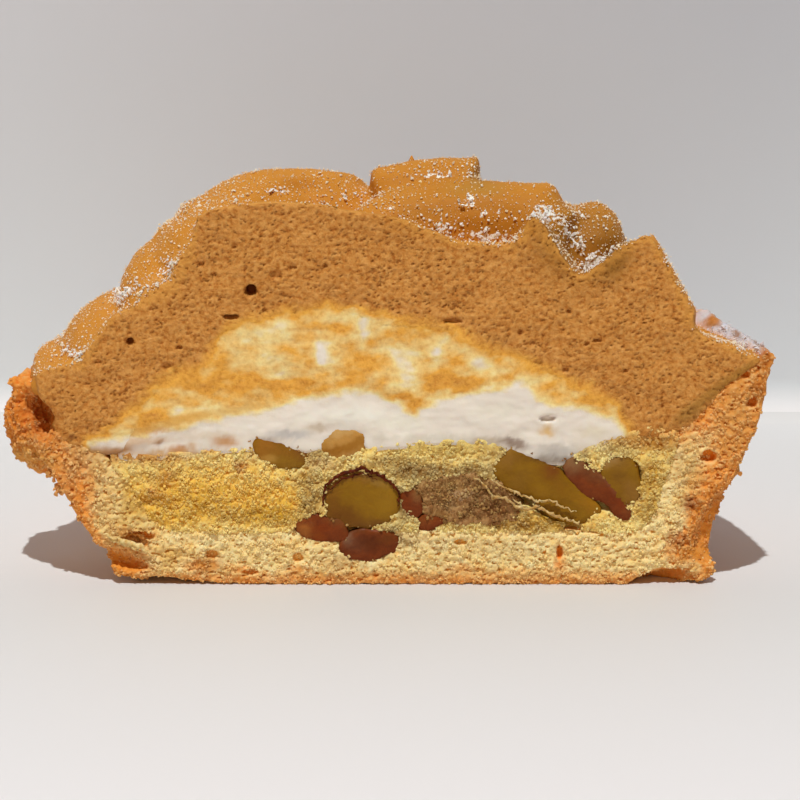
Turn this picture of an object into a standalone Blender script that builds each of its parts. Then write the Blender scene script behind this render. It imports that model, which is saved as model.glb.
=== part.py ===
"""Half of a small mont blanc tart, cut straight through the middle and standing on its base.

A flared shortcrust shell holds almond sponge with pieces of chestnut and sweet bean baked into it,
a dome of whipped cream, and a mound of chestnut cream piped in thick overlapping ribbons.

Frame: +Z up, the cut face looks along -Y, +X to the right as the cut is seen. The origin is the
middle of the bounding box on the surface that the tart stands on. Lengths are in metres.
"""

import math
from dataclasses import dataclass

import bmesh
import bpy
from mathutils import Matrix, Vector, noise

MM = 0.001

# Shortcrust shell
RIM_RADIUS = 39.7 * MM
BASE_RADIUS = 30.1 * MM
SHELL_HEIGHT = 23.1 * MM
RIM_TILT = 1.9 * MM  # the rim is this much higher at +X and lower at -X
BASE_LEAN = 2.1 * MM  # the base sits this far towards +X under the rim
FLOOR_THICKNESS = 5.6 * MM
FLOOR_RADIUS = 24.4 * MM
WALL_BULGE = 0.4 * MM
SHELL_RELIEF = 0.35 * MM
RELIEF_GRAIN = 5.0 * MM

# Fillings
SPONGE_TOP = 15.0 * MM
SPONGE_SLOPE = 0.035  # the sponge has risen a little more at +X
CREAM_HEIGHT_RIGHT = 12.0 * MM
CREAM_HEIGHT_LEFT = 15.0 * MM
CREAM_RADIUS_RIGHT = 25.0 * MM
CREAM_RADIUS_LEFT = 27.0 * MM
CREAM_LIP = 3.4 * MM  # a thin lip of cream dragged past the dome at the left

GAP = 0.3 * MM  # between touching pieces
CUT_Y = -RIM_RADIUS / 2  # the plane of the cut, through the tart's own axis
STEPS = 36  # facets round the half circle
PAST_CUT = 1.0 * MM  # everything is made this much past the cut, and the knife then trims it
BOX_SHIFT = 0.35 * MM  # the shard at the left reaches out further, so the axis lies right of the middle


@dataclass
class Lump:
    """A piece baked into the sponge: an uneven ellipsoid that the cut has sliced."""

    name: str
    x: float  # middle, in mm, from the tart's axis along the cut
    z: float
    length: float  # half sizes, in mm
    height: float
    depth: float
    tilt: float  # degrees, positive lifts the right end
    rough: float = 0.10
    behind: float = 0.25  # how far the middle lies behind the cut, in mm


@dataclass
class Ribbon:
    """One piped stroke of chestnut cream, laid round the mound.

    Angles are seen from above, from +X, in degrees. Each triple is for the start, the middle and
    the end of the stroke, in mm.
    """

    start: float
    end: float
    radii: tuple  # from the tart's axis
    heights: tuple  # of the middle of the stroke
    sizes: tuple  # half heights of the stroke
    lean: float = 0.0  # degrees, positive leans the crest outwards
    pointed: bool = False  # squeezed from a petal nozzle, otherwise a round lobe


CHESTNUTS = (
    Lump("chestnut_centre", -2.6, 9.3, 4.1, 3.1, 3.4, 4, 0.06),
    Lump("chestnut_left", -11.1, 14.1, 2.9, 1.2, 2.4, -18),
    Lump("chestnut_top", -4.4, 15.4, 2.5, 1.5, 2.2, 10, 0.06),
    Lump("chestnut_right", 16.2, 10.3, 6.0, 2.6, 3.4, -35, 0.12),
    Lump("chestnut_edge", 24.6, 12.0, 2.3, 1.9, 2.0, -25),
)
BEANS = (
    Lump("bean_right", 21.7, 10.3, 4.9, 1.5, 2.2, -40, 0.08),
    Lump("bean_lower_left", -6.8, 6.1, 2.9, 1.3, 1.8, -8, 0.14),
    Lump("bean_lower", -2.0, 4.3, 3.3, 1.5, 2.0, 6, 0.14),
    Lump("bean_middle", 2.9, 8.9, 0.95, 1.6, 1.2, 10),
    Lump("bean_small", 4.4, 6.9, 1.3, 0.6, 0.9, 20),
)
PASTE = (Lump("bean_paste", 8.0, 9.2, 6.0, 2.7, 3.2, -4, 0.16),)

# What the knife did to the shell: at the left it broke the rim away and pushed a shard outwards, and
# it knocked flakes off both corners of the base.
SHELL_LUMPS = (
    Lump("shard", -36.5, 15.7, 4.0, 5.5, 6.0, 8, 0.30, behind=7.6),
    Lump("crumb", 31.8, 1.9, 1.9, 1.5, 1.6, -30, 0.45, behind=1.2),
)
SHELL_CHIPS = (
    Lump("rim_break", -39.6, 21.0, 5.0, 7.8, 3.8, 14, 0.34, behind=-0.4),
    Lump("recess", -35.8, 18.6, 1.9, 3.0, 5.2, 10, 0.20),
    Lump("flake_hollow", -26.0, 4.5, 1.8, 0.65, 1.5, -22, 0.20),
    Lump("flake_edge", -28.0, 2.3, 3.8, 1.2, 1.6, -24, 0.30),
    Lump("wall_break", 34.5, 6.4, 5.4, 2.3, 1.7, 66, 0.30),
    Lump("base_break", 28.6, 0.2, 3.6, 1.3, 2.4, 14, 0.30),
)

RIBBONS = (
    # the two strokes that the cut crosses at the right
    Ribbon(-9, 30, (14.0, 15.6, 19.0), (32.4, 32.4, 30.6), (4.8, 5.8, 4.6), 4, True),
    Ribbon(-7, 26, (25.2, 26.6, 26.8), (30.6, 29.4, 25.4), (5.4, 6.6, 4.6), 12, True),
    # upper ring, from the left round to the right
    Ribbon(186, 96, (11.0, 20.3, 12.4), (32.0, 31.6, 34.8), (5.0, 9.6, 6.2)),
    Ribbon(183, 138, (20.6, 23.6, 20.0), (28.4, 29.2, 30.6), (2.4, 6.6, 5.4)),
    Ribbon(118, 60, (17.0, 18.6, 17.5), (31.0, 33.2, 31.4), (3.0, 5.8, 4.0), 6),
    Ribbon(58, 18, (21.2, 23.6, 23.0), (30.6, 33.2, 31.2), (3.2, 5.4, 3.8)),
    # the two strokes that close the middle
    Ribbon(118, 21, (7.4, 11.2, 20.8), (35.2, 35.8, 36.0), (2.6, 5.0, 4.5)),
    Ribbon(96, 54, (14.2, 14.8, 17.2), (37.8, 38.8, 38.8), (3.0, 4.1, 3.8)),
    # lower ring
    Ribbon(184, 138, (23.8, 29.6, 28.6), (20.6, 21.2, 21.4), (5.6, 8.0, 6.4)),
    Ribbon(152, 110, (28.0, 29.6, 28.6), (20.6, 21.8, 20.6), (4.2, 7.6, 5.4), 8),
    Ribbon(124, 80, (28.0, 29.6, 28.6), (20.6, 22.0, 20.8), (4.2, 7.6, 5.4), 8),
    Ribbon(94, 50, (28.0, 29.6, 28.6), (20.6, 22.2, 21.0), (4.2, 7.6, 5.4), 8),
    Ribbon(64, 22, (28.0, 29.4, 28.4), (20.8, 22.6, 21.6), (4.2, 7.2, 5.2), 8),
)
STATIONS = 13  # along each ribbon
NOZZLE_SIDES = 16

# The outline that the cut leaves on the chestnut cream, from the rim to the axis, as (radius, height)
# in mm, and the plainer body of the mound behind it, under the ribbons. Point for point they match.
OUTLINE_LEFT = (
    (36.2, 22.6), (34.5, 23.5), (31.5, 24.0), (29.7, 27.0), (28.0, 29.2), (26.6, 29.9), (23.0, 30.9),
    (21.4, 32.4), (20.2, 36.0), (19.3, 39.6), (17.9, 40.5), (12.4, 41.2), (8.6, 41.0), (4.0, 40.4),
    (2.0, 40.3), (0.0, 40.2),
)
OUTLINE_RIGHT = (
    (38.3, 24.3), (35.8, 25.8), (32.2, 27.0), (31.2, 29.2), (30.2, 31.8), (29.2, 33.3), (27.5, 35.0),
    (26.8, 37.2), (24.5, 36.0), (19.7, 33.0), (17.0, 36.8), (15.1, 38.7), (13.0, 36.3), (7.2, 36.7),
    (3.0, 38.5), (0.0, 40.2),
)
BODY = (
    (38.2, 23.4), (36.4, 24.2), (34.4, 24.6), (32.4, 25.0), (30.4, 25.6), (28.4, 26.4), (26.4, 27.4),
    (24.4, 28.4), (22.4, 29.4), (20.2, 30.4), (17.8, 31.6), (15.2, 32.6), (12.0, 33.6), (8.0, 34.6),
    (4.0, 36.8), (0.0, 40.2),
)
OUTLINE_DEPTH = 5.0 * MM  # how far behind the cut its outline fades into the body

COLOURS = {
    "crust": (0.72, 0.36, 0.11),
    "almond_sponge": (0.72, 0.53, 0.15),
    "whipped_cream": (0.86, 0.78, 0.66),
    "chestnut_cream": (0.56, 0.29, 0.10),
    "chestnut": (0.46, 0.31, 0.05),
    "bean": (0.19, 0.06, 0.04),
    "bean_paste": (0.36, 0.22, 0.12),
}


def material(kind, roughness=0.6):
    """A Principled material in the food's own colour."""
    made = bpy.data.materials.get(kind) or bpy.data.materials.new(kind)
    made.use_nodes = True
    shader = made.node_tree.nodes["Principled BSDF"]
    shader.inputs["Base Color"].default_value = (*COLOURS[kind], 1.0)
    shader.inputs["Roughness"].default_value = roughness
    shader.inputs["Metallic"].default_value = 0.0
    return made


def add_object(name, mesh_data, collection, kind=None):
    """Turns a bmesh into an object of the collection."""
    mesh = bpy.data.meshes.new(name)
    mesh_data.to_mesh(mesh)
    mesh_data.free()
    made = bpy.data.objects.new(name, mesh)
    collection.objects.link(made)
    if kind:
        mesh.materials.append(material(kind))
    return made


def left_share(angle):
    """0 at the right end of the cut, 1 at the left end, smooth between them."""
    return 0.5 - 0.5 * math.cos(angle)


def mix(a, b, share):
    return a + (b - a) * share


def through(triple, share):
    """A smooth run from the first value through the middle one to the last."""
    first, middle, last = triple
    return mix(first, last, share) + 4 * share * (1 - share) * (middle - (first + last) / 2)


def axis_shift(z):
    """How far the middle of the shell lies towards +X at this height."""
    return BASE_LEAN * max(0.0, 1.0 - z / SHELL_HEIGHT)


def to_polar(x, y, z):
    across = x - axis_shift(z)
    back = y - CUT_Y
    return math.hypot(across, back), math.atan2(back, across)


def lofted_half(section_at, past=PAST_CUT):
    """A bmesh of the solid whose half section at each angle is section_at(angle), a list of (radius, z).

    The first and last points of a section lie on the axis, and every section has as many points.
    """
    made = bmesh.new()
    rings = []
    for step in range(STEPS + 1):
        angle = math.pi * step / STEPS
        section = section_at(angle)
        ring = []
        for index, (radius, z) in enumerate(section):
            on_axis = index in (0, len(section) - 1)
            if on_axis and rings:
                ring.append(rings[0][index])
                continue
            x = axis_shift(z) + radius * math.cos(angle)
            back = -past if on_axis or step in (0, STEPS) else radius * math.sin(angle)
            ring.append(made.verts.new((x, CUT_Y + back, z)))
        rings.append(ring)
    for near, far in zip(rings, rings[1:]):
        for low in range(len(near) - 1):
            corners = (near[low], near[low + 1], far[low + 1], far[low])
            made.faces.new(dict.fromkeys(corners))
    made.faces.new(rings[0] + rings[-1][-2:0:-1])
    bmesh.ops.triangulate(made, faces=made.faces[:])
    bmesh.ops.recalc_face_normals(made, faces=made.faces[:])
    return made


# ---- surfaces that two pieces share -------------------------------------------------------------


def rim_height(angle):
    return SHELL_HEIGHT + RIM_TILT * math.cos(angle)


def lining(angle):
    """The inside of the shell from the floor to the rim, as (radius, z).

    At the left the filling sits on a ledge and the wall above it is thin. At the right the wall
    bevels evenly up to the rim.
    """
    left = left_share(angle) ** 2
    return (
        (FLOOR_RADIUS, FLOOR_THICKNESS),
        (FLOOR_RADIUS + 2.0 * MM, FLOOR_THICKNESS + 1.2 * MM),
        (FLOOR_RADIUS + 3.2 * MM, 10.0 * MM),
        (mix(30.4, 30.6, left) * MM, mix(17.0, 14.3, left) * MM),
        (mix(32.6, 34.5, left) * MM, mix(18.8, 15.2, left) * MM),
        (mix(34.9, 35.5, left) * MM, mix(21.4, 18.4, left) * MM),
        (mix(38.5, 37.2, left) * MM, rim_height(angle) - mix(1.0, 0.6, left) * MM),
    )


WALL_FOOT = 3  # the point of lining() where the sponge's top meets the shell


def sponge_top(radius, angle):
    """Height of the almond sponge's top. A hollow at the right is pressed into the chestnut there."""
    x = radius * math.cos(angle)
    back = radius * math.sin(angle)
    hollow = 2.5 * MM * math.exp(-(((x - 16.8 * MM) / (3.6 * MM)) ** 2 + (back / (5 * MM)) ** 2))
    wave = 0.35 * MM * math.sin(x / (3.3 * MM)) * math.cos(back / (5 * MM))
    return SPONGE_TOP + SPONGE_SLOPE * x + wave - hollow


def cream_reach(angle):
    """Radius where the whipped cream ends: the dome's, and that of the lip dragged out at the left."""
    dome = mix(CREAM_RADIUS_RIGHT, CREAM_RADIUS_LEFT, left_share(angle))
    near_cut = max(0.0, (math.degrees(angle) - 155.0) / 25.0)
    return dome, dome + CREAM_LIP * near_cut**2 * (3 - 2 * near_cut) + 0.01 * MM


CREAM_SHARES = (0.0, 0.18, 0.36, 0.54, 0.70, 0.83, 0.93, 1.0)


def cream_layers(angle):
    """(radius, bottom, top) of the whipped cream from the axis to its edge."""
    dome, reach = cream_reach(angle)
    layers = []
    for share in CREAM_SHARES:
        radius = share * reach
        bottom = sponge_top(radius, angle) + GAP
        height = mix(CREAM_HEIGHT_RIGHT, CREAM_HEIGHT_LEFT, left_share(angle))
        inside = max(0.0, 1.0 - (radius / dome) ** 2.2)
        lip = 0.6 * MM * max(0.0, 1.0 - share) / 0.2
        thickness = max(height * inside**0.55, min(lip, 0.6 * MM))
        layers.append((radius, bottom, bottom + thickness))
    return layers


def mound_top(angle):
    """The top of the chestnut cream under the ribbons, from the rim to the axis, as (radius, z)."""
    side = min(1.0, max(0.0, (angle - math.pi / 3) / (math.pi / 3)))
    side = side * side * (3 - 2 * side)
    points = []
    for left, right, body in zip(OUTLINE_LEFT, OUTLINE_RIGHT, BODY):
        behind = body[0] * MM * math.sin(angle)
        near = math.exp(-((behind / OUTLINE_DEPTH) ** 2))
        radius, z = (mix(b, mix(r, le, side), near) for le, r, b in zip(left, right, body))
        points.append((radius * MM, z * MM))
    return points


# ---- the pieces ---------------------------------------------------------------------------------


def shell_section(angle):
    """The shortcrust shell's half section: floor, lining, rim, outer wall and base."""
    rim = rim_height(angle)
    points = [(0.0, FLOOR_THICKNESS), (FLOOR_RADIUS / 2, FLOOR_THICKNESS), *lining(angle)]
    points += [(38.7 * MM, rim), (RIM_RADIUS - 0.1 * MM, rim - 0.2 * MM)]
    for share in (0.93, 0.8, 0.66, 0.52, 0.38, 0.24, 0.1, 0.025):
        straight = mix(BASE_RADIUS, RIM_RADIUS, share)
        points.append((straight + WALL_BULGE * math.sin(math.pi * share), rim * share))
    points += [(BASE_RADIUS - 0.7 * MM, 0.0), (BASE_RADIUS / 2, 0.0), (0.0, 0.0)]
    return points


def roughen_shell(made):
    """Uneven, hand-pressed relief on the outer wall and the rim. The base stays flat."""
    for vert in made.verts:
        radius, angle = to_polar(*vert.co)
        outside = radius > mix(BASE_RADIUS, RIM_RADIUS, vert.co.z / SHELL_HEIGHT) - 1.2 * MM
        if not outside or vert.co.z < 0.4 * MM:
            continue
        push = noise.noise(vert.co / RELIEF_GRAIN) * SHELL_RELIEF
        push += noise.noise(vert.co / (RELIEF_GRAIN / 3)) * SHELL_RELIEF * 0.6
        vert.co.x += push * math.cos(angle)
        if vert.co.y > CUT_Y + 0.1 * MM:
            vert.co.y += push * math.sin(angle)
        if vert.co.z > SHELL_HEIGHT * 0.9:
            vert.co.z += 0.8 * push


def sponge_section(angle):
    """The almond sponge fills the shell up to its baked top."""
    top = [(radius, bottom - GAP) for radius, bottom, _ in cream_layers(angle)]
    wall = lining(angle)
    foot = wall[WALL_FOOT]
    edge = foot[0] - 2.5 * GAP
    reach = top[-1][0]
    for share in (0.5, 1.0):
        radius = mix(min(reach, edge - 0.4 * MM), edge, share)
        top.append((radius, min(sponge_top(radius, angle), foot[1] + 0.2 * MM)))
    top = [(min(radius, edge - (len(top) - i - 1) * 0.1 * MM), z) for i, (radius, z) in enumerate(top)]
    side = [(radius - 1.5 * GAP, z + GAP) for radius, z in reversed(wall[:WALL_FOOT])]
    return [*top, *side, (FLOOR_RADIUS / 2, FLOOR_THICKNESS + GAP), (0.0, FLOOR_THICKNESS + GAP)]


def cream_section(angle):
    """The whipped cream's lens, from its domed top to its underside on the sponge."""
    layers = cream_layers(angle)
    top = [(radius, z) for radius, _, z in layers]
    return top + [(radius, z) for radius, z, _ in layers[-2::-1]]


def under_mound(angle):
    """The underside of the chestnut cream: over the whipped cream, down to the sponge, up the lining."""
    layers = cream_layers(angle)
    under = [(radius + GAP * share, z + GAP) for (radius, _, z), share in zip(layers, CREAM_SHARES)]
    wall = [(radius - GAP, z + GAP) for radius, z in lining(angle)[WALL_FOOT:]]
    last = len(under) - 1
    under = [(min(r, wall[0][0] - (last - i + 1) * 0.1 * MM), z) for i, (r, z) in enumerate(under)]
    return [*under, *wall]


def mound_section(angle):
    """The body of the mound, which reaches down into everything under it."""
    top = mound_top(angle)
    return [(0.0, 20 * MM), (24 * MM, 12 * MM), (top[0][0], 12 * MM), *top]


def filled_section(angle):
    """All that lies under and around the mound, which is cut from it."""
    under = under_mound(angle)
    above_rim = under[-1][1] + 0.6 * MM
    return [*under, (38.4 * MM, above_rim), (50 * MM, above_rim), (50 * MM, 2 * MM), (0.0, 2 * MM)]


def nozzle_curve(pointed, collection):
    """The section that the piping nozzle gives: pointed for a petal nozzle, round for a lobe."""
    curve = bpy.data.curves.new("nozzle", "CURVE")
    curve.dimensions = "2D"
    spline = curve.splines.new("POLY")
    spline.points.add(NOZZLE_SIDES - 1)
    for index in range(NOZZLE_SIDES):
        turn = 2 * math.pi * index / NOZZLE_SIDES
        across, up = math.sin(turn), math.cos(turn)
        if pointed and up > 0:
            across = math.copysign(1.0 - up, across)
        spline.points[index].co = (0.9 * across, up, 0.0, 1.0)
    spline.use_cyclic_u = True
    made = bpy.data.objects.new("nozzle", curve)
    made.hide_render = True
    collection.objects.link(made)
    return made


def ribbon_mesh(ribbon, nozzle):
    """A closed mesh of one stroke, from a path with the nozzle's section swept along it."""
    curve = bpy.data.curves.new("stroke", "CURVE")
    curve.dimensions = "3D"
    curve.twist_mode = "Z_UP"
    curve.bevel_mode = "OBJECT"
    curve.bevel_object = nozzle
    curve.use_fill_caps = True
    spline = curve.splines.new("POLY")
    spline.points.add(STATIONS - 1)
    for index in range(STATIONS):
        share = index / (STATIONS - 1)
        angle = math.radians(mix(ribbon.start, ribbon.end, share))
        radius, height, size = (
            through(triple, share) * MM for triple in (ribbon.radii, ribbon.heights, ribbon.sizes)
        )
        point = spline.points[index]
        point.co = (radius * math.cos(angle), CUT_Y + radius * math.sin(angle), height, 1.0)
        point.radius = size * (1.0 if 0 < index < STATIONS - 1 else 0.55)
        point.tilt = math.radians(ribbon.lean) * (1 if ribbon.end > ribbon.start else -1)
    path = bpy.data.objects.new("stroke", curve)
    bpy.context.scene.collection.objects.link(path)
    bpy.context.view_layer.update()
    graph = bpy.context.evaluated_depsgraph_get()
    mesh = bpy.data.meshes.new_from_object(path.evaluated_get(graph))
    made = bmesh.new()
    made.from_mesh(mesh)
    bpy.data.objects.remove(path)
    bmesh.ops.remove_doubles(made, verts=made.verts[:], dist=1e-6)
    bmesh.ops.triangulate(made, faces=made.faces[:])
    bmesh.ops.recalc_face_normals(made, faces=made.faces[:])
    return made


def lump_mesh(lump, grow=0.0):
    """An uneven ellipsoid. grow widens it on every side, for the hollow that it sits in."""
    made = bmesh.new()
    bmesh.ops.create_icosphere(made, subdivisions=2, radius=1.0)
    seed = Vector((lump.x, lump.z, lump.length))
    sizes = Vector((lump.length, lump.depth, lump.height)) * MM + Vector((grow, grow, grow))
    for vert in made.verts:
        swell = 1.0 + lump.rough * noise.noise(vert.co * 1.4 + seed)
        vert.co = Vector(c * size * swell for c, size in zip(vert.co, sizes))
    turn = Matrix.Rotation(-math.radians(lump.tilt), 4, "Y")
    place = Vector((lump.x * MM, CUT_Y + lump.behind * MM, lump.z * MM))
    bmesh.ops.transform(made, matrix=Matrix.Translation(place) @ turn, verts=made.verts[:])
    return made


def combine(target, others, operation, solver="MANIFOLD"):
    """Applies one Boolean for each of the other objects, which are removed.

    EXACT leaves sealed slivers where strokes and hollows meet at a narrow angle, so only the shell uses it.
    """
    for other in others:
        modifier = target.modifiers.new("combine", "BOOLEAN")
        modifier.operation = operation
        modifier.solver = solver
        modifier.object = other
        bpy.context.view_layer.update()
        graph = bpy.context.evaluated_depsgraph_get()
        mesh = bpy.data.meshes.new_from_object(target.evaluated_get(graph))
        target.modifiers.clear()
        target.data = mesh
        bpy.data.objects.remove(other)


def knife(piece, helpers):
    """Cuts the tart in half: what lies in front of the cut is taken away."""
    kept = bmesh.new()
    bmesh.ops.create_cube(kept, size=120 * MM)
    bmesh.ops.translate(kept, vec=(0, CUT_Y + 60 * MM, 0), verts=kept.verts[:])
    combine(piece, [add_object("kept_half", kept, helpers)], "INTERSECT")
    piece.data.transform(Matrix.Translation((BOX_SHIFT, 0, 0)))


def cut_hollows(target, lumps, helpers):
    """Cuts a hollow for each lump into the target, a gap wider than the lump."""
    cutters = [add_object("hollow", lump_mesh(lump, GAP), helpers) for lump in lumps]
    combine(target, cutters, "DIFFERENCE")


def build_shell(tart, helpers):
    shell_mesh = lofted_half(shell_section)
    roughen_shell(shell_mesh)
    shell = add_object("crust", shell_mesh, tart, "crust")
    for lumps, operation in ((SHELL_LUMPS, "UNION"), (SHELL_CHIPS, "DIFFERENCE")):
        others = [add_object(lump.name, lump_mesh(lump), helpers) for lump in lumps]
        combine(shell, others, operation, "EXACT")
    return shell


def build_mound(tart, helpers):
    """The chestnut cream: its body and ribbons joined, then cleared of all that it lies on."""
    mound = add_object("chestnut_cream", lofted_half(mound_section), tart, "chestnut_cream")
    nozzles = {pointed: nozzle_curve(pointed, helpers) for pointed in (True, False)}
    strokes = [add_object("stroke", ribbon_mesh(r, nozzles[r.pointed]), helpers) for r in RIBBONS]
    for nozzle in nozzles.values():
        bpy.data.objects.remove(nozzle)
    combine(mound, strokes, "UNION")
    filled = add_object("filled", lofted_half(filled_section, 2 * PAST_CUT), helpers)
    combine(mound, [filled], "DIFFERENCE")
    cut_hollows(mound, SHELL_LUMPS[:1], helpers)
    return mound


def build_pieces(lumps, kind, neighbours, tart, helpers):
    """The chestnuts and beans, each cut back from the neighbours that it leans on."""
    pieces = []
    for lump in lumps:
        piece = add_object(lump.name, lump_mesh(lump), tart, kind)
        cut_hollows(piece, neighbours, helpers)
        pieces.append(piece)
    return pieces


def main():
    for obj in list(bpy.data.objects):
        bpy.data.objects.remove(obj)
    tart = bpy.data.collections.new("mont_blanc_tart_half")
    helpers = bpy.data.collections.new("cutters")
    for collection in (tart, helpers):
        bpy.context.scene.collection.children.link(collection)

    inside = BEANS + CHESTNUTS + PASTE
    shell = build_shell(tart, helpers)
    cut_hollows(shell, [lump for lump in BEANS if lump.z - lump.height < 5.9], helpers)
    sponge = add_object("almond_sponge", lofted_half(sponge_section), tart, "almond_sponge")
    cut_hollows(sponge, inside, helpers)
    whipped = add_object("whipped_cream", lofted_half(cream_section), tart, "whipped_cream")
    cut_hollows(whipped, [lump for lump in inside if lump.z + lump.length > 15.0], helpers)
    pieces = [shell, sponge, whipped, build_mound(tart, helpers)]
    pieces += build_pieces(BEANS, "bean", (), tart, helpers)
    pieces += build_pieces(CHESTNUTS, "chestnut", BEANS, tart, helpers)
    pieces += build_pieces(PASTE, "bean_paste", BEANS + CHESTNUTS, tart, helpers)
    for piece in pieces:
        knife(piece, helpers)


main()
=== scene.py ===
"""The looks of half a mont blanc tart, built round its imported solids.

A shortcrust shell holds an almond sponge with chestnuts and red beans in it. Whipped cream lies on the
sponge, chestnut cream is piped over all of it, and powdered sugar lies on the ribbons. The cut face looks
towards -Y. Lengths in this file are in millimetres until a mesh is written.
"""

from __future__ import annotations

import itertools
import logging
import math
from dataclasses import dataclass, field
from enum import Enum
from typing import Callable, Sequence

import bpy
import numpy as np
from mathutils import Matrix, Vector
from mathutils.bvhtree import BVHTree


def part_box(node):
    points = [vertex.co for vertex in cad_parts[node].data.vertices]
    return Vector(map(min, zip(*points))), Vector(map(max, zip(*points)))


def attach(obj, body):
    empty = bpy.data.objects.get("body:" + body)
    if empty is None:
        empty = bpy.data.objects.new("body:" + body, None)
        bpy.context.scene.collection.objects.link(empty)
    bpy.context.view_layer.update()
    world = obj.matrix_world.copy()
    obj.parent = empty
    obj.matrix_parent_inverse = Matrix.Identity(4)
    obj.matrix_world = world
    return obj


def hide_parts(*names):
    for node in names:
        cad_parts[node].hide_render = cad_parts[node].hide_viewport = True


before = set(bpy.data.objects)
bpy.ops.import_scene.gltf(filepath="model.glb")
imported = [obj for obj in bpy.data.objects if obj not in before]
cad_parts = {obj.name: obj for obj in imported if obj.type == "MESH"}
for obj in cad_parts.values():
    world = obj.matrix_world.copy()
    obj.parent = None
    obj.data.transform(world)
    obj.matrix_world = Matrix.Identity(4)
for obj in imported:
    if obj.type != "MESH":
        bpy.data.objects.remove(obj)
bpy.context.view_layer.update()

LOG = logging.getLogger("tart")
MM = 0.001
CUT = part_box("chestnut_cream")[0].y / MM  # the plane of the knife
EYE_HEIGHT = 14.0  # degrees above the table
EYE_DISTANCE = 300.0
LIT_SPOT = Vector((0.0, -0.01, 0.02))  # metres; where every lamp is turned to
FLOOR_GAP = 0.02  # every piece stays this far above the table
MERGE = 1e-6  # metres within which two corners of a solid are one
TINY = 1e-6  # keeps a division from failing
FAR = 9.0  # stands for "nothing near"
TOUCH = 1.6  # how far a vertex looks for the solid next to it
SEAM = (1.3, 0.7)  # gaps between which a piece starts to swell into its neighbour
CUT_FACING = (0.45, 0.8)  # how squarely a vertex on the cut faces the knife
CUT_DEPTH = (1.6, 0.9)  # how far behind the knife's plane the cut face still reaches
AIM = np.array((1.69, CUT, 19.98))
EYE = AIM + EYE_DISTANCE * np.array((0.0, -math.cos(math.radians(EYE_HEIGHT)), math.sin(math.radians(EYE_HEIGHT))))

Piece, Tree = bpy.types.Object, bpy.types.NodeTree
Node, Socket = bpy.types.Node, bpy.types.NodeSocket
Blob = tuple[float, float, float, float, float]  # x, z, half width, half height, strength
Tint = tuple[float, float, float, float, float, str, float]  # x, z, half width, half height, lean, colour, strength
Slab = tuple[float, float, float, float, float]  # x from and to, how far behind the cut, z from and to
Pull = tuple[float, float, float, float, float, float]  # x, z, half width, half height, how far across, how far up


# ---------------------------------------------------------------- numbers and noise


def ease(value: np.ndarray, low: float, high: float) -> np.ndarray:
    """A smooth step from 0 at low to 1 at high; low may be the larger one."""
    t = np.clip((value - low) / (high - low), 0.0, 1.0)
    return t * t * (3.0 - 2.0 * t)


def dice(cell: np.ndarray, seed: int) -> np.ndarray:
    """A fixed random number from 0 to 1 for each whole-number cell.

    Args:
        cell: whole numbers, three to a row.
        seed: another seed gives other numbers.

    Returns:
        One number a row.
    """
    n = cell.astype(np.int64)
    h = n[..., 0] * 374761393 + n[..., 1] * 668265263 + n[..., 2] * 1440662683
    h = (h + seed * 1274126177) & 0xFFFFFFFF
    h = ((h ^ (h >> 13)) * 1103515245) & 0xFFFFFFFF
    h = ((h ^ (h >> 15)) * 668265263) & 0xFFFFFFFF
    return (h ^ (h >> 16)) / 4294967296.0


def leaning(cell: np.ndarray, seed: int) -> np.ndarray:
    """A fixed random direction for each whole-number cell, three numbers a row, each from -1 to 1."""
    whole = (dice(cell, seed) * 4294967296.0).astype(np.int64)
    return np.stack([((whole >> shift) & 1023) / 511.5 - 1.0 for shift in (1, 11, 21)], axis=-1)


def cloud(points: np.ndarray, size: Sequence[float] | float, seed: int, octaves: int = 2) -> np.ndarray:
    """Smooth cloudy noise.

    Args:
        points: places, three to a row.
        size: how long one cloud is, the same or different along x, y and z.
        seed: another seed gives another pattern.
        octaves: how many finer layers are laid over the first.

    Returns:
        One number a row, mostly within -1 to 1.
    """
    turn = np.array(((0.80, 0.36, -0.48), (-0.60, 0.48, -0.64), (0.0, 0.80, 0.60)))
    p = points / (0.62 * np.asarray(size, float)) + 7.31 * seed
    total, weight, reach = np.zeros(len(p)), 1.0, 0.0
    for layer in range(octaves):
        p = p @ turn if layer else p
        base = np.floor(p)
        t = p - base
        eased = t * t * t * (t * (t * 6.0 - 15.0) + 10.0)
        value = np.zeros(len(p))
        for corner in itertools.product((0, 1), repeat=3):
            share = np.prod(np.where(np.array(corner) == 1, eased, 1.0 - eased), axis=1)
            value += share * ((t - corner) * leaning(base + corner, seed + 17 * layer)).sum(1)
        total += weight * value * 1.9
        reach += weight * weight
        weight *= 0.55
        p = p * 2.03
    return total / math.sqrt(reach)


def pebbles(points: np.ndarray, size: Sequence[float] | float, seed: int) -> tuple[np.ndarray, np.ndarray]:
    """A heap of rounded grains.

    Args:
        points: places, three to a row.
        size: how far apart the grains are.
        seed: another seed gives another heap.

    Returns:
        How far each place is from its grain's middle, in grain sizes, and that grain's own number.
    """
    p = points / np.asarray(size, float)
    base = np.floor(p)
    best, tone = np.full(len(p), FAR), np.zeros(len(p))
    for step in itertools.product((-1, 0, 1), repeat=3):
        cell = base + step
        middle = cell + np.stack([dice(cell, seed + k) for k in range(3)], axis=1)
        gap = np.linalg.norm(p - middle, axis=1)
        nearer = gap < best
        best = np.where(nearer, gap, best)
        tone = np.where(nearer, dice(cell, seed + 3), tone)
    return best, tone


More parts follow.
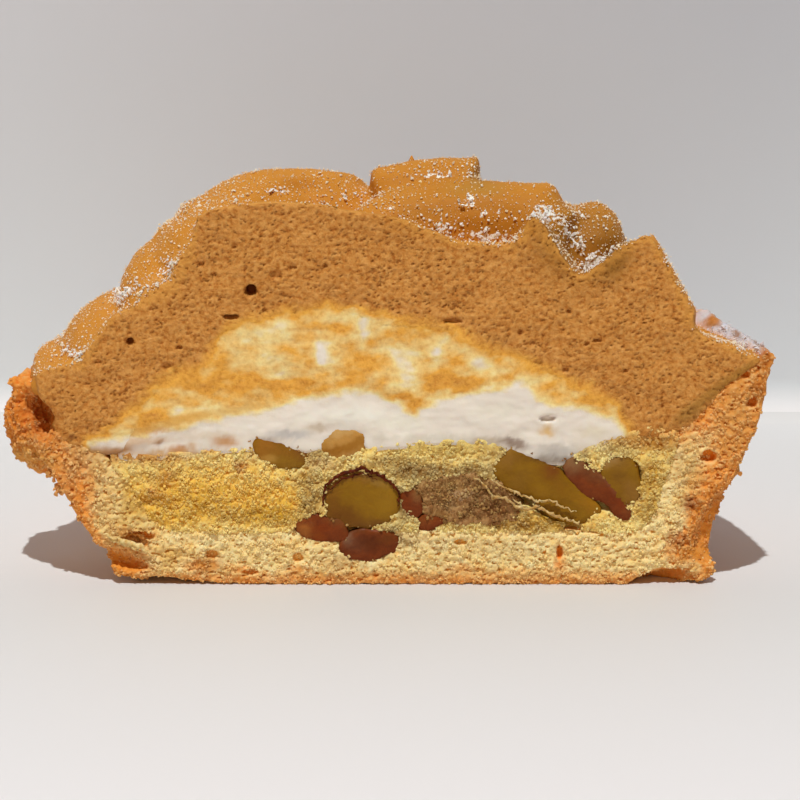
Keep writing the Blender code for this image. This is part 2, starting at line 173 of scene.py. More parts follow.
def spots(x: np.ndarray, z: np.ndarray, blobs: Sequence[Blob]) -> np.ndarray:
    """Soft round spots added together.

    Args:
        x: where, across.
        z: where, up.
        blobs: each spot's middle, half sizes and strength.

    Returns:
        One number a place.
    """
    total = np.zeros(len(x))
    for bx, bz, wide, high, strength in blobs:
        total += strength * np.exp(-(((x - bx) / wide) ** 2 + ((z - bz) / high) ** 2))
    return total


def seen_from_front(points: np.ndarray) -> tuple[np.ndarray, np.ndarray]:
    """Where each place appears on the plane of the knife, looked at from the front.

    Args:
        points: places, three to a row.

    Returns:
        The x and the z of that appearance.
    """
    share = (CUT - EYE[1]) / (points[:, 1] - EYE[1])
    flat = EYE + (points - EYE) * share[:, None]
    return flat[:, 0], flat[:, 2]


# ---------------------------------------------------------------- mesh handling


def alone(piece: Piece) -> None:
    """Selects one object and makes it the active one.

    Args:
        piece: the object.
    """
    for other in bpy.context.selected_objects:
        other.select_set(False)
    piece.select_set(True)
    bpy.context.view_layer.objects.active = piece


def finish_with(piece: Piece, kind: str, **settings: object) -> None:
    """Adds a modifier and applies it.

    Args:
        piece: the object.
        kind: the modifier's type.
        settings: its settings.
    """
    alone(piece)
    modifier = piece.modifiers.new(kind.title(), kind)
    for name, value in settings.items():
        setattr(modifier, name, value)
    bpy.ops.object.modifier_apply(modifier=modifier.name)


def places(piece: Piece) -> np.ndarray:
    """Reads where the vertices are.

    Args:
        piece: the object.

    Returns:
        Millimetres, three numbers a row.
    """
    co = np.empty(len(piece.data.vertices) * 3, np.float32)
    piece.data.vertices.foreach_get("co", co)
    return co.reshape(-1, 3).astype(float) / MM


def directions(piece: Piece) -> np.ndarray:
    """Reads which way the vertices face.

    Args:
        piece: the object.

    Returns:
        Directions of length 1, three numbers a row.
    """
    normals = np.empty(len(piece.data.vertices) * 3, np.float32)
    piece.data.vertex_normals.foreach_get("vector", normals)
    return normals.reshape(-1, 3).astype(float)


def move_to(piece: Piece, points: np.ndarray) -> None:
    """Puts the vertices at places given in millimetres."""
    piece.data.vertices.foreach_set("co", (points * MM).astype(np.float32).ravel())
    piece.data.update()


def paint(piece: Piece, mask: Mask, values: np.ndarray) -> None:
    """Keeps one number a vertex on the mesh, for a material to read."""
    layer = piece.data.attributes.new(mask.value, "FLOAT", "POINT")
    layer.data.foreach_set("value", np.clip(values, 0.0, 1.0).astype(np.float32))


def even_out(piece: Piece, values: np.ndarray, times: int) -> np.ndarray:
    """Averages a number, or a place, with the neighbouring vertices'.

    Args:
        piece: whose edges say which vertices are neighbours.
        values: one row a vertex.
        times: how often.

    Returns:
        The evened rows.
    """
    ends = np.empty(len(piece.data.edges) * 2, np.int32)
    piece.data.edges.foreach_get("vertices", ends)
    a, b = ends.reshape(-1, 2).T
    shape = (len(values),) + (1,) * (values.ndim - 1)
    count = np.bincount(np.r_[a, b], minlength=len(values)).clip(1).reshape(shape)
    for _ in range(times):
        total = np.zeros_like(values, dtype=float)
        np.add.at(total, a, values[b])
        np.add.at(total, b, values[a])
        values = 0.5 * values + 0.5 * total / count
    return values


def wash(piece: Piece, tints: Sequence[Tint], ragged: float) -> None:
    """Lays soft strokes of colour over a piece, as they are seen from the front.

    Args:
        piece: the object.
        tints: the strokes, each over the ones before it; a lean is in degrees, rising to the right.
        ragged: how far the strokes' edges wander.
    """
    points = places(piece)
    flat = points * (1.0, 0.0, 1.0)
    u, v = seen_from_front(points)
    u = u + ragged * cloud(flat, 1.7, 131, 3)
    v = v + ragged * cloud(flat, 1.3, 132, 3)
    front = ease(points[:, 1], 14.0, 4.0)
    colour, cover = np.zeros((len(points), 3)), np.zeros(len(points))
    for x, z, wide, high, lean, code, strength in tints:
        c, s = math.cos(math.radians(lean)), math.sin(math.radians(lean))
        across, up = (u - x) * c + (v - z) * s, (v - z) * c - (u - x) * s
        share = front * strength * np.exp(-(((across / wide) ** 2 + (up / high) ** 2) ** 1.5))
        colour = colour * (1.0 - share)[:, None] + np.array(linear(code)[:3]) * share[:, None]
        cover = cover + share * (1.0 - cover)
    paint_colour(piece, colour / np.maximum(cover, TINY)[:, None], cover)


def paint_colour(piece: Piece, colour: np.ndarray, cover: np.ndarray) -> None:
    """Keeps a colour and how much it covers on each vertex."""
    layer = piece.data.attributes.new("tint", "FLOAT_COLOR", "POINT")
    layer.data.foreach_set("color", np.c_[colour, cover].astype(np.float32).ravel())


@dataclass
class Skin:
    """The surface of a piece as arrays: places, directions, and how much each belongs to the cut face."""

    points: np.ndarray
    normals: np.ndarray
    cut: np.ndarray

    @classmethod
    def of(cls, piece: Piece) -> Skin:
        """Reads a piece's surface.

        Args:
            piece: the object.

        Returns:
            Its surface.
        """
        points, normals = places(piece), directions(piece)
        facing = ease(-normals[:, 1], *CUT_FACING)
        return cls(points, normals, facing * ease(points[:, 1], CUT + CUT_DEPTH[0], CUT + CUT_DEPTH[1]))

    @property
    def x(self) -> np.ndarray:
        """Across."""
        return self.points[:, 0]

    @property
    def z(self) -> np.ndarray:
        """Up."""
        return self.points[:, 2]

    def flat(self) -> np.ndarray:
        """The places pressed onto the plane of the knife, so a pattern runs on from piece to piece."""
        return self.points * (1.0, 0.0, 1.0)


# ---------------------------------------------------------------- material nodes


def linear(code: str) -> tuple[float, float, float, float]:
    """An sRGB hex colour as linear numbers.

    Args:
        code: six hex digits.

    Returns:
        Red, green, blue and 1.
    """
    parts = [int(code[i : i + 2], 16) / 255.0 for i in (0, 2, 4)]
    r, g, b = (c / 12.92 if c <= 0.04045 else ((c + 0.055) / 1.055) ** 2.4 for c in parts)
    return (r, g, b, 1.0)


class Mask(Enum):
    """The numbers that pieces carry for their materials."""

    MARBLING = "marbling"  # 0 white cream, 1 chestnut cream
    CUT = "cut"  # on the cut face
    SMEAR = "smear"  # where the knife dragged the cream smooth
    PORE = "pore"  # how deep in a hole; the materials darken it as painted shade
    CREST = "crest"  # how far a grain stands out of its surroundings; the crumb materials lighten it as a painted highlight
    BAKED = "baked"  # 0 pale crumb, 1 browned
    SCORCH = "scorch"  # the darkest baked edges
    GOLD = "gold"  # syrupy yellow crumb
    STAIN = "stain"  # brown juice in the crumb, and the dark rim of nuts and beans
    DUST = "dust"  # fine sugar on the cream, and pale flecks on beans and paste


def add(tree: Tree, kind: str, links: dict[str | int, object] | None = None, **settings: object) -> Node:
    """Adds one node with its settings, values and links.

    Args:
        tree: where it goes.
        kind: the node's type, without "ShaderNode".
        links: for each input, a value or what feeds it; a node stands for its Fac output, or else its first,
            and a mask for what the piece carries under that name.
        settings: the node's own settings; stops are a colour ramp's places and colours.

    Returns:
        The node.
    """
    node = tree.nodes.new("ShaderNode" + kind)
    stops = settings.pop("stops", None)
    for name, value in settings.items():
        setattr(node, name, value)
    if stops:
        elements = node.color_ramp.elements
        while len(elements) < len(stops):
            elements.new(1.0)
        for element, (place, code) in zip(elements, stops):
            element.position, element.color = place, linear(code)
    for socket, value in (links or {}).items():
        if isinstance(value, Mask):
            value = add(tree, "Attribute", attribute_name=value.value)
        if isinstance(value, Node):
            value = value.outputs.get("Fac") or value.outputs[0]
        if isinstance(value, Socket):
            tree.links.new(value, node.inputs[socket])
        else:
            node.inputs[socket].default_value = value
    return node


def tinted(tree: Tree, colour: object) -> Node:
    """Lays the painted strokes over a colour."""
    tint = add(tree, "Attribute", attribute_name="tint")
    return add(tree, "MixRGB", {"Fac": tint.outputs["Alpha"], "Color1": colour, "Color2": tint.outputs["Color"]})


@dataclass(frozen=True)
class Finish:
    """What every finish shares.

    Fields:
        name: the material's name.
        roughness: of the surface.
        translucent: how much light passes under the surface.
        depth: how far it passes, in millimetres.
        coat: how much clear syrup lies on it.
        shine: how strongly it mirrors; 0.5 is a plain smooth surface.
    """

    name: str
    roughness: float = 0.6
    translucent: float = 0.0
    depth: float = 1.0
    coat: float = 0.0
    shine: float = 0.10

    def colour(self, tree: Tree, where: Socket) -> Node:
        """The colour's nodes. Each finish has its own."""
        raise NotImplementedError

    def height(self, tree: Tree, where: Socket) -> tuple[Node, float]:
        """The fine relief's nodes and how high it stands, in millimetres."""
        raise NotImplementedError

    def gloss(self, tree: Tree, where: Socket) -> Node:
        """The roughness, a little uneven from place to place.

        Args:
            tree: the material's nodes.
            where: the place on the piece.

        Returns:
            The roughness.
        """
        speck = add(tree, "TexNoise", {"Vector": where, "Scale": 900.0, "Detail": 2.0})
        low, high = self.roughness - 0.08, self.roughness + 0.08
        return add(tree, "MapRange", {"Value": speck, "To Min": low, "To Max": high})

    def make(self) -> bpy.types.Material:
        """Builds the material.

        Returns:
            The material.
        """
        material = bpy.data.materials.new(self.name)
        material.use_nodes = True
        tree = material.node_tree
        tree.nodes.clear()
        where = add(tree, "TexCoord").outputs["Object"]
        height, tall = self.height(tree, where)
        bump = add(tree, "Bump", {"Height": height, "Strength": 1.0, "Distance": tall * MM})
        shader = add(
            tree,
            "BsdfPrincipled",
            {
                "Base Color": self.colour(tree, where),
                "Roughness": self.gloss(tree, where),
                "Specular IOR Level": self.shine,
                "Normal": bump,
            },
        )
        if self.translucent:
            shader.inputs["Subsurface Weight"].default_value = self.translucent
            shader.inputs["Subsurface Scale"].default_value = self.depth * MM
            shader.inputs["Subsurface Radius"].default_value = (1.0, 0.62, 0.34)
        if self.coat:
            shader.inputs["Coat Weight"].default_value = self.coat
            shader.inputs["Coat Roughness"].default_value = 0.18
        add(tree, "OutputMaterial", {"Surface": shader})
        return material


@dataclass(frozen=True)
class CreamFinish(Finish):
    """Whipped and chestnut cream, one running into the other. Full of fine air bubbles, so it is soft and matt."""

    white: str = "f5e9de"
    yellow: str = "ffe6a6"
    orange: str = "f8b854"
    tan: str = "e0a25c"
    smear: str = "dc9a48"
    outside: str = "cd8630"

    def colour(self, tree: Tree, where: Socket) -> Node:
        """White through yellow and orange to tan, with painted shade in the bubbles every millimetre and in the
        pores.

        Args:
            tree: the material's nodes.
            where: the place on the piece.

        Returns:
            The colour.
        """
        ramp = add(
            tree,
            "ValToRGB",
            {"Fac": Mask.MARBLING},
            stops=((0.0, self.white), (0.16, self.white), (0.36, self.yellow), (0.62, self.orange), (0.97, self.tan)),
        )
        # painted shade: the same noise as the bubble relief, so the cut darkens where the bubbles dip
        bubble_shading = add(tree, "TexNoise", {"Vector": where, "Scale": 2100.0, "Detail": 3.0, "Roughness": 0.6})
        shade = add(
            tree,
            "ValToRGB",
            {"Fac": bubble_shading},
            stops=((0.28, "c8a478"), (0.44, "e8d7ba"), (0.60, "f8f2e6"), (0.74, "ffffff")),
        )
        aired = add(tree, "Math", {0: Mask.MARBLING, 1: Mask.CUT}, operation="MULTIPLY")
        inner = add(tree, "MixRGB", {"Fac": aired, "Color1": ramp, "Color2": shade}, blend_type="MULTIPLY")
        uncut = add(tree, "Math", {0: Mask.MARBLING, 1: aired}, operation="SUBTRACT", use_clamp=True)
        mixed = add(tree, "MixRGB", {"Fac": uncut, "Color1": inner, "Color2": linear(self.outside)})
        washed = tinted(tree, mixed)
        dragged = add(tree, "MixRGB", {"Fac": Mask.SMEAR, "Color1": washed, "Color2": linear(self.smear)})
        # painted shade: the pore mask darkens holes and dips towards dark brown
        deep = add(tree, "MixRGB", {"Fac": Mask.PORE, "Color1": dragged, "Color2": linear("74380f")})
        grit = add(tree, "TexNoise", {"Vector": where, "Scale": 3200.0, "Detail": 2.0})
        speck = add(tree, "Math", {0: grit, 1: Mask.DUST}, operation="ADD")
        white = add(tree, "MapRange", {"Value": speck, "From Min": 0.96, "From Max": 1.10})
        return add(tree, "MixRGB", {"Fac": white, "Color1": deep, "Color2": linear("f4efe9")})

    def height(self, tree: Tree, where: Socket) -> tuple[Node, float]:
        """Bubbles a quarter of a millimetre wide, only where the cream was cut.

        Args:
            tree: the material's nodes.
            where: the place on the piece.

        Returns:
            The relief's node, and how high it stands in millimetres.
        """
        bubbles = add(tree, "TexNoise", {"Vector": where, "Scale": 2100.0, "Detail": 3.0, "Roughness": 0.6})
        amount = add(tree, "Math", {0: Mask.MARBLING, 1: Mask.CUT}, operation="MULTIPLY")
        half = add(tree, "Math", {0: amount, 1: 0.9, 2: 0.1}, operation="MULTIPLY_ADD")
        return add(tree, "Math", {0: bubbles, 1: half}, operation="MULTIPLY"), 0.20


@dataclass(frozen=True)
class CrumbFinish(Finish):
    """Baked crumb, pale inside and browned by the tin and the oven: shortcrust and almond sponge."""

    pale: str = "ffecb8"
    gold: str = "fed078"
    stain: str = "936a38"
    baked: str = "f29e48"
    scorch: str = "c06828"
    # the next colour is a painted highlight on the grains' tops; dry sets how strongly it covers them
    crest: str = "ffe2a8"
    hollow_shade: str = "f2c070"  # painted shade in the hollows, in the warm colour of light that has passed through crumb
    dry: float = 0.34
    relief: float = 0.07

    def colour(self, tree: Tree, where: Socket) -> Node:
        """Pale crumb turned golden by syrup, brown by juice, and orange-brown by the oven, grain by grain, with
        painted highlights on the grains' tops and painted shade in the hollows and at the grains' edges.

        Args:
            tree: the material's nodes.
            where: the place on the piece.

        Returns:
            The colour.
        """
        grains = add(tree, "TexVoronoi", {"Vector": where, "Scale": 1700.0}, feature="F1")
        tone = add(tree, "TexNoise", {"Vector": where, "Scale": 700.0, "Detail": 4.0, "Roughness": 0.7})
        colour: object = linear(self.pale)
        for mask, code in (
            (Mask.GOLD, self.gold),
            (Mask.STAIN, self.stain),
            (Mask.BAKED, self.baked),
            (Mask.SCORCH, self.scorch),
        ):
            uneven = add(tree, "Math", {0: tone, 1: 0.9, 2: -0.45}, operation="MULTIPLY_ADD")
            total = add(tree, "Math", {0: mask, 1: uneven}, operation="ADD")
            none = add(tree, "MapRange", {"Value": mask, "From Max": 0.25})
            held = add(tree, "Math", {0: total, 1: none}, operation="MULTIPLY", use_clamp=True)
            colour = add(tree, "MixRGB", {"Fac": held, "Color1": colour, "Color2": linear(code)})
        colour = tinted(tree, colour)
        # painted highlight: the tops of grains are lightened
        dry = add(tree, "Math", {0: Mask.CREST, 1: self.dry}, operation="MULTIPLY")
        high = add(tree, "MixRGB", {"Fac": dry, "Color1": colour, "Color2": linear(self.crest)})
        # painted shade: the pore mask darkens the hollows between grains
        deep = add(
            tree,
            "MixRGB",
            {"Fac": Mask.PORE, "Color1": high, "Color2": linear(self.hollow_shade)},
            blend_type="MULTIPLY",
        )
        # painted shade: each grain darkened towards its edge
        shade = add(tree, "ValToRGB", {"Fac": grains}, stops=((0.0, "ffffff"), (0.5, "fdf8f0"), (0.95, "f2e0bc")))
        return add(tree, "MixRGB", {"Fac": 0.6, "Color1": deep, "Color2": shade}, blend_type="MULTIPLY")

    def height(self, tree: Tree, where: Socket) -> tuple[Node, float]:
        """Grains of a third of a millimetre, rough all over.

        Args:
            tree: the material's nodes.
            where: the place on the piece.

        Returns:
            The relief's node, and how high it stands in millimetres.
        """
        grains = add(tree, "TexVoronoi", {"Vector": where, "Scale": 2600.0}, feature="F1")
        rough = add(tree, "TexNoise", {"Vector": where, "Scale": 2200.0, "Detail": 4.0, "Roughness": 0.7})
        return add(tree, "Math", {0: grains, 1: -0.8, 2: rough}, operation="MULTIPLY_ADD"), self.relief


@dataclass(frozen=True)
class FleshFinish(Finish):
    """Cooked nut, bean or paste: dense and moist, so it shines softly and light goes a little way in."""

    body: str = "966a14"
    shade: str = "80560e"
    rim: str = "6a3c10"
    fleck: str = "b98f52"
    flecks: float = 0.0
    pattern: float = 2.4

    def colour(self, tree: Tree, where: Socket) -> Node:
        """Clouds of two tones, a few millimetres long, painted strokes, pale flecks and a darker rim.

        Args:
            tree: the material's nodes.
            where: the place on the piece.

        Returns:
            The colour.
        """
        scale = 1000.0 / self.pattern
        clouds = add(tree, "TexNoise", {"Vector": where, "Scale": scale, "Detail": 5.0, "Roughness": 0.6})
        ramp = add(tree, "ValToRGB", {"Fac": clouds}, stops=((0.30, self.shade), (0.66, self.body)))
        amount = add(tree, "Math", {0: Mask.DUST, 1: self.flecks}, operation="MULTIPLY")
        flecked = add(tree, "MixRGB", {"Fac": amount, "Color1": tinted(tree, ramp), "Color2": linear(self.fleck)})
        return add(tree, "MixRGB", {"Fac": Mask.STAIN, "Color1": flecked, "Color2": linear(self.rim)})

    def height(self, tree: Tree, where: Socket) -> tuple[Node, float]:
        """The faint drag of the knife."""
        rough = add(tree, "TexNoise", {"Vector": where, "Scale": 1300.0, "Detail": 4.0, "Roughness": 0.6})
        return rough, 0.12


@dataclass(frozen=True)
class PlainFinish(Finish):
    """A thin or tiny thing with one tone and its lighter or darker clouds: sugar, skin, film and the set."""

    body: str = "f7f3ee"
    shade: str = "e9e2da"
    pattern: float = 0.3
    relief: float = 0.02
    washed: bool = False  # whether each grain also carries a colour of its own

    def colour(self, tree: Tree, where: Socket) -> Node:
        """Two tones in clouds.

        Args:
            tree: the material's nodes.
            where: the place on the piece.

        Returns:
            The colour.
        """
        clouds = add(tree, "TexNoise", {"Vector": where, "Scale": 1000.0 / self.pattern, "Detail": 3.0})
        ramp = add(tree, "ValToRGB", {"Fac": clouds}, stops=((0.35, self.shade), (0.65, self.body)))
        return tinted(tree, ramp) if self.washed else ramp

    def height(self, tree: Tree, where: Socket) -> tuple[Node, float]:
        """A little roughness."""
        rough = add(tree, "TexNoise", {"Vector": where, "Scale": 1000.0 / self.pattern, "Detail": 2.0})
        return rough, self.relief


@dataclass(frozen=True)
class BackdropFinish(Finish):
    """The set: a pale floor, and a wall that grows greyer with height; the grey, and a faint darkening of the floor
    behind the tart, are painted shade.
    """

    floor: str = "eae3e5"
    # the wall's colours low and high; its greying with height is painted shade
    low: str = "e2e5eb"
    high: str = "d9d8e0"

    def colour(self, tree: Tree, where: Socket) -> Node:
        """Graded by height, a little darker up on the right, and the floor a little darker from the tart backwards,
        all as painted shade.

        Args:
            tree: the material's nodes.
            where: the place on the piece.

        Returns:
            The colour.
        """
        parts = add(tree, "SeparateXYZ", {0: where})
        tall = add(tree, "MapRange", {"Value": parts.outputs["Z"], "From Max": 0.06})
        graded = add(
            tree,
            "ValToRGB",
            {"Fac": tall},
            stops=((0.0, self.floor), (0.01, self.floor), (0.07, self.low), (1.0, self.high)),
        )
        # painted shade: the wall a little darker up on the right
        aside = add(tree, "MapRange", {"Value": parts.outputs["X"], "From Min": -0.045, "From Max": 0.045})
        wall = add(tree, "Math", {0: aside, 1: tall}, operation="MULTIPLY")
        faint = add(tree, "ValToRGB", {"Fac": wall}, stops=((0.0, "ffffff"), (0.9, "ebecee")))
        shaded = add(tree, "MixRGB", {"Fac": 1.0, "Color1": graded, "Color2": faint}, blend_type="MULTIPLY")
        # painted shade: the floor a little darker from the tart backwards
        nearer = add(tree, "MapRange", {"Value": parts.outputs["Y"], "From Min": -0.03, "From Max": -0.08})
        front = add(tree, "ValToRGB", {"Fac": nearer}, stops=((0.0, "eff1f0"), (1.0, "ffffff")))
        low = add(tree, "Math", {0: parts.outputs["Z"], 1: 0.001}, operation="LESS_THAN")
        return add(tree, "MixRGB", {"Fac": low, "Color1": shaded, "Color2": front}, blend_type="MULTIPLY")

    def height(self, tree: Tree, where: Socket) -> tuple[Node, float]:
        """Next to nothing."""
        rough = add(tree, "TexNoise", {"Vector": where, "Scale": 300.0, "Detail": 2.0})
        return rough, 0.01


# Dairy cream whipped with sugar: fat and air, nearly white, light goes a millimetre or two in.
WHIPPED = CreamFinish("whipped_dairy_cream", roughness=0.5, translucent=0.15, depth=1.2)
# Chestnut puree with butter and cream, piped: tan, satin outside, full of bubbles where cut.
CHESTNUT_CREAM = CreamFinish("piped_chestnut_cream", roughness=0.55, translucent=0.12, depth=0.9)
# Almond sponge: coarse, moist and yellow from egg yolk and syrup, with painted highlights on its grains and painted
# shade in its hollows.
SPONGE = CrumbFinish(
    "almond_sponge_crumb", roughness=0.55, translucent=0.18, depth=0.6, pale="ffeaa4", gold="f8c656", hollow_shade="fbd884",
    dry=0.30, crest="fff0b8",
)
# Shortcrust: dry, sandy, pale inside, orange-brown where it met the tin.
SHORTCRUST = CrumbFinish("baked_shortcrust", roughness=0.68, translucent=0.18, depth=0.6)
# Candied chestnut: dense, glassy, olive-yellow to brown.
CHESTNUT = FleshFinish("chestnut_flesh", roughness=0.4, translucent=0.15, depth=1.0, coat=0.01)
PALE_CHESTNUT = FleshFinish(
    "pale_chestnut_flesh", roughness=0.42, translucent=0.15, depth=1.0, coat=0.01, body="ca954c", shade="b68038",
    rim="9a6a24",
)
# Sweet red bean: dark, waxy skin and a paler, mealy inside.
BEAN = FleshFinish(
    "red_bean", roughness=0.42, translucent=0.1, depth=0.8, coat=0.01, body="843e19", shade="6e3012", rim="5e2e12",
    flecks=0.35, fleck="9a6a42", pattern=1.3,
)
# Crushed bean and nut: mauve-brown and mealy.
PASTE = FleshFinish(
    "crushed_bean_and_nut", roughness=0.5, translucent=0.2, depth=1.0, body="c29260", shade="a27242",
    rim="8a6430", flecks=0.45, fleck="c09a68", pattern=1.2,
)
# Powdered sugar: clumps of fine white crystals.
SUGAR = PlainFinish(
    "powdered_sugar", roughness=0.8, translucent=0.2, depth=0.2, body="f8f2f0", shade="e8e0dc", washed=True
)
# The papery skin of a chestnut.
NUT_SKIN = PlainFinish("chestnut_skin", roughness=0.45, body="6f2c10", shade="471505", pattern=0.8)
# A torn film of baked syrup.
FILM = PlainFinish(
    "torn_film", roughness=0.35, translucent=0.3, depth=0.4, body="e3c48e", shade="b98d4c", pattern=0.9
)
# A lifted flake of pale shortcrust.
FLAKE = PlainFinish(
    "pale_flake", roughness=0.6, translucent=0.2, depth=0.5, body="f0d59a", shade="d3a55e", pattern=0.5
)
# The backdrop: a pale table that turns up into a slightly greyer wall, the grey being painted shade.
BACKDROP = BackdropFinish("backdrop_with_painted_shade", roughness=0.55)


def dress(piece: Piece, finish: Finish) -> None:
    """Gives a piece its only material.

    Args:
        piece: the object.
        finish: what it is made of.
    """
    material = bpy.data.materials.get(finish.name) or finish.make()
    piece.data.materials.clear()
    piece.data.materials.append(material)


# ---------------------------------------------------------------- layers of the tart


@dataclass
class Layer:
    """A solid of the tart made again with fine relief.

    Fields:
        node: the CAD node that it stands for.
        finish: what it is made of.
        slot: not used.
        grain: the size of its faces away from the cut.
        cuts: how many times each face on the cut is cut along a side.
        swell: how far it grows into its neighbours, so no gap shows between them.
        soften: how often its shape is smoothed.
        pulls: places near the cut that are moved as listed.
        nudges: the same behind the cut, as seen from the front.
        tints: strokes of colour that are laid over the finish.
        ragged: how far the strokes' edges wander.
    """

    node: str
    finish: Finish
    slot: str
    grain: float = 0.4
    cuts: int = 1
    swell: float = 0.42
    soften: int = 3
    pulls: tuple[Pull, ...] = ()
    nudges: tuple[Pull, ...] = ()
    tints: tuple[Tint, ...] = ()
    ragged: float = 0.3

    @property
    def name(self) -> str:
        """The piece's name."""
        return self.node + "_dressed"

    def base(self) -> Piece:
        """Copies the solid, gives it fine even faces and lets it touch its neighbours.

        Returns:
            The new object.
        """
        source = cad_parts[self.node]
        piece = bpy.data.objects.new(self.name, source.data.copy())
        bpy.context.scene.collection.objects.link(piece)
        alone(piece)
        bpy.ops.object.mode_set(mode="EDIT")
        bpy.ops.mesh.select_all(action="SELECT")
        bpy.ops.mesh.remove_doubles(threshold=MERGE)
        bpy.ops.object.mode_set(mode="OBJECT")
        finish_with(piece, "REMESH", mode="VOXEL", voxel_size=self.grain * MM, use_smooth_shade=True)
        finish_with(piece, "SMOOTH", factor=0.5, iterations=self.soften)
        self.touch_neighbours(piece)
        self.pull(piece)
        self.refine_cut(piece)
        return piece

    def pull(self, piece: Piece) -> None:
        """Moves listed parts of the shape, near the cut and behind it.

        Args:
            piece: the object.
        """
        points = places(piece)
        near = ease(points[:, 1], CUT + 6.0, CUT + 2.0)
        for x, z, wide, high, across, up in self.pulls:
            share = near * np.exp(-(((points[:, 0] - x) / wide) ** 2 + ((points[:, 2] - z) / high) ** 2))
            points[:, 0] += across * share
            points[:, 2] += up * share
        u, v = seen_from_front(points)
        behind = ease(points[:, 1], CUT + 2.0, CUT + 5.0) * ease(points[:, 1], 19.0, 15.0)
        for x, z, wide, high, across, up in self.nudges:
            share = behind * np.exp(-(((u - x) / wide) ** 2 + ((v - z) / high) ** 2))
            points[:, 0] += across * share
            points[:, 2] += up * share
        move_to(piece, points)

    def touch_neighbours(self, piece: Piece) -> None:
        """Pushes out each vertex that lies against another solid.

        Args:
            piece: the object.
        """
        corners: list[Vector] = []
        faces: list[tuple[int, ...]] = []
        for name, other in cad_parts.items():
            if name != self.node:
                start = len(corners)
                corners += [v.co.copy() for v in other.data.vertices]
                faces += [tuple(start + i for i in p.vertices) for p in other.data.polygons]
        tree = BVHTree.FromPolygons(corners, faces)
        points, normals = places(piece), directions(piece)
        gap = np.full(len(points), FAR)
        for i, point in enumerate(points * MM):
            hit = tree.find_nearest(Vector(point), TOUCH * MM)
            if hit[3] is not None:
                gap[i] = hit[3] / MM
        push = self.swell * ease(gap, *SEAM)
        level = normals * (1.0, 0.0, 1.0)
        length = np.linalg.norm(level, axis=1)
        near_cut = ease(points[:, 1], CUT + 1.2, CUT + 0.4)
        level *= (np.minimum(1.0, length * 2.5) / np.maximum(length, TINY))[:, None]
        way = normals + (level - normals) * near_cut[:, None]
        move_to(piece, points + way * push[:, None])

    def fine_area(self, middle: np.ndarray, normal: np.ndarray) -> np.ndarray:
        """Says which faces are cut smaller: those on the cut face."""
        return (middle[:, 1] < CUT + 0.6) & (normal[:, 1] < -0.6)

    def refine_cut(self, piece: Piece) -> None:
        """Cuts the faces that are seen closest smaller.

        Args:
            piece: the object.
        """
        if not self.cuts:
            return
        count = len(piece.data.polygons)
        middle, normal = np.empty(count * 3, np.float32), np.empty(count * 3, np.float32)
        piece.data.polygons.foreach_get("center", middle)
        piece.data.polygons.foreach_get("normal", normal)
        chosen = self.fine_area(middle.reshape(-1, 3) / MM, normal.reshape(-1, 3))
        alone(piece)
        bpy.ops.object.mode_set(mode="EDIT")
        bpy.ops.mesh.select_mode(type="FACE")
        bpy.ops.mesh.select_all(action="DESELECT")
        bpy.ops.object.mode_set(mode="OBJECT")
        piece.data.polygons.foreach_set("select", chosen)
        bpy.ops.object.mode_set(mode="EDIT")
        bpy.ops.mesh.subdivide(number_cuts=self.cuts)
        bpy.ops.object.mode_set(mode="OBJECT")

    def relief(self, skin: Skin) -> np.ndarray:
        """How far each vertex moves out, in millimetres."""
        return np.zeros(len(skin.points))

    def masks(self, piece: Piece, skin: Skin, relief: np.ndarray) -> dict[Mask, np.ndarray]:
        """The numbers that the material reads."""
        return {}

    def build(self) -> Piece:
        """Builds and dresses the piece.

        Returns:
            The finished object.
        """
        piece = self.base()
        skin = Skin.of(piece)
        relief = self.relief(skin)
        way = skin.normals * (1.0 - skin.cut[:, None]) + np.array((0.0, -1.0, 0.0)) * skin.cut[:, None]
        moved = skin.points + way * relief[:, None]
        moved[:, 2] = np.maximum(moved[:, 2], FLOOR_GAP)
        move_to(piece, moved)
        for mask, values in self.masks(piece, skin, relief).items():
            paint(piece, mask, values)
        paint(piece, Mask.CUT, skin.cut)
        wash(piece, self.tints, self.ragged)
        piece.data.polygons.foreach_set("use_smooth", np.ones(len(piece.data.polygons), bool))
        dress(piece, self.finish)
        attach(piece, "root")
        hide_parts(self.node)
        piece.data.calc_loop_triangles()
        LOG.info("%s: %d triangles", piece.name, len(piece.data.loop_triangles))
        return piece


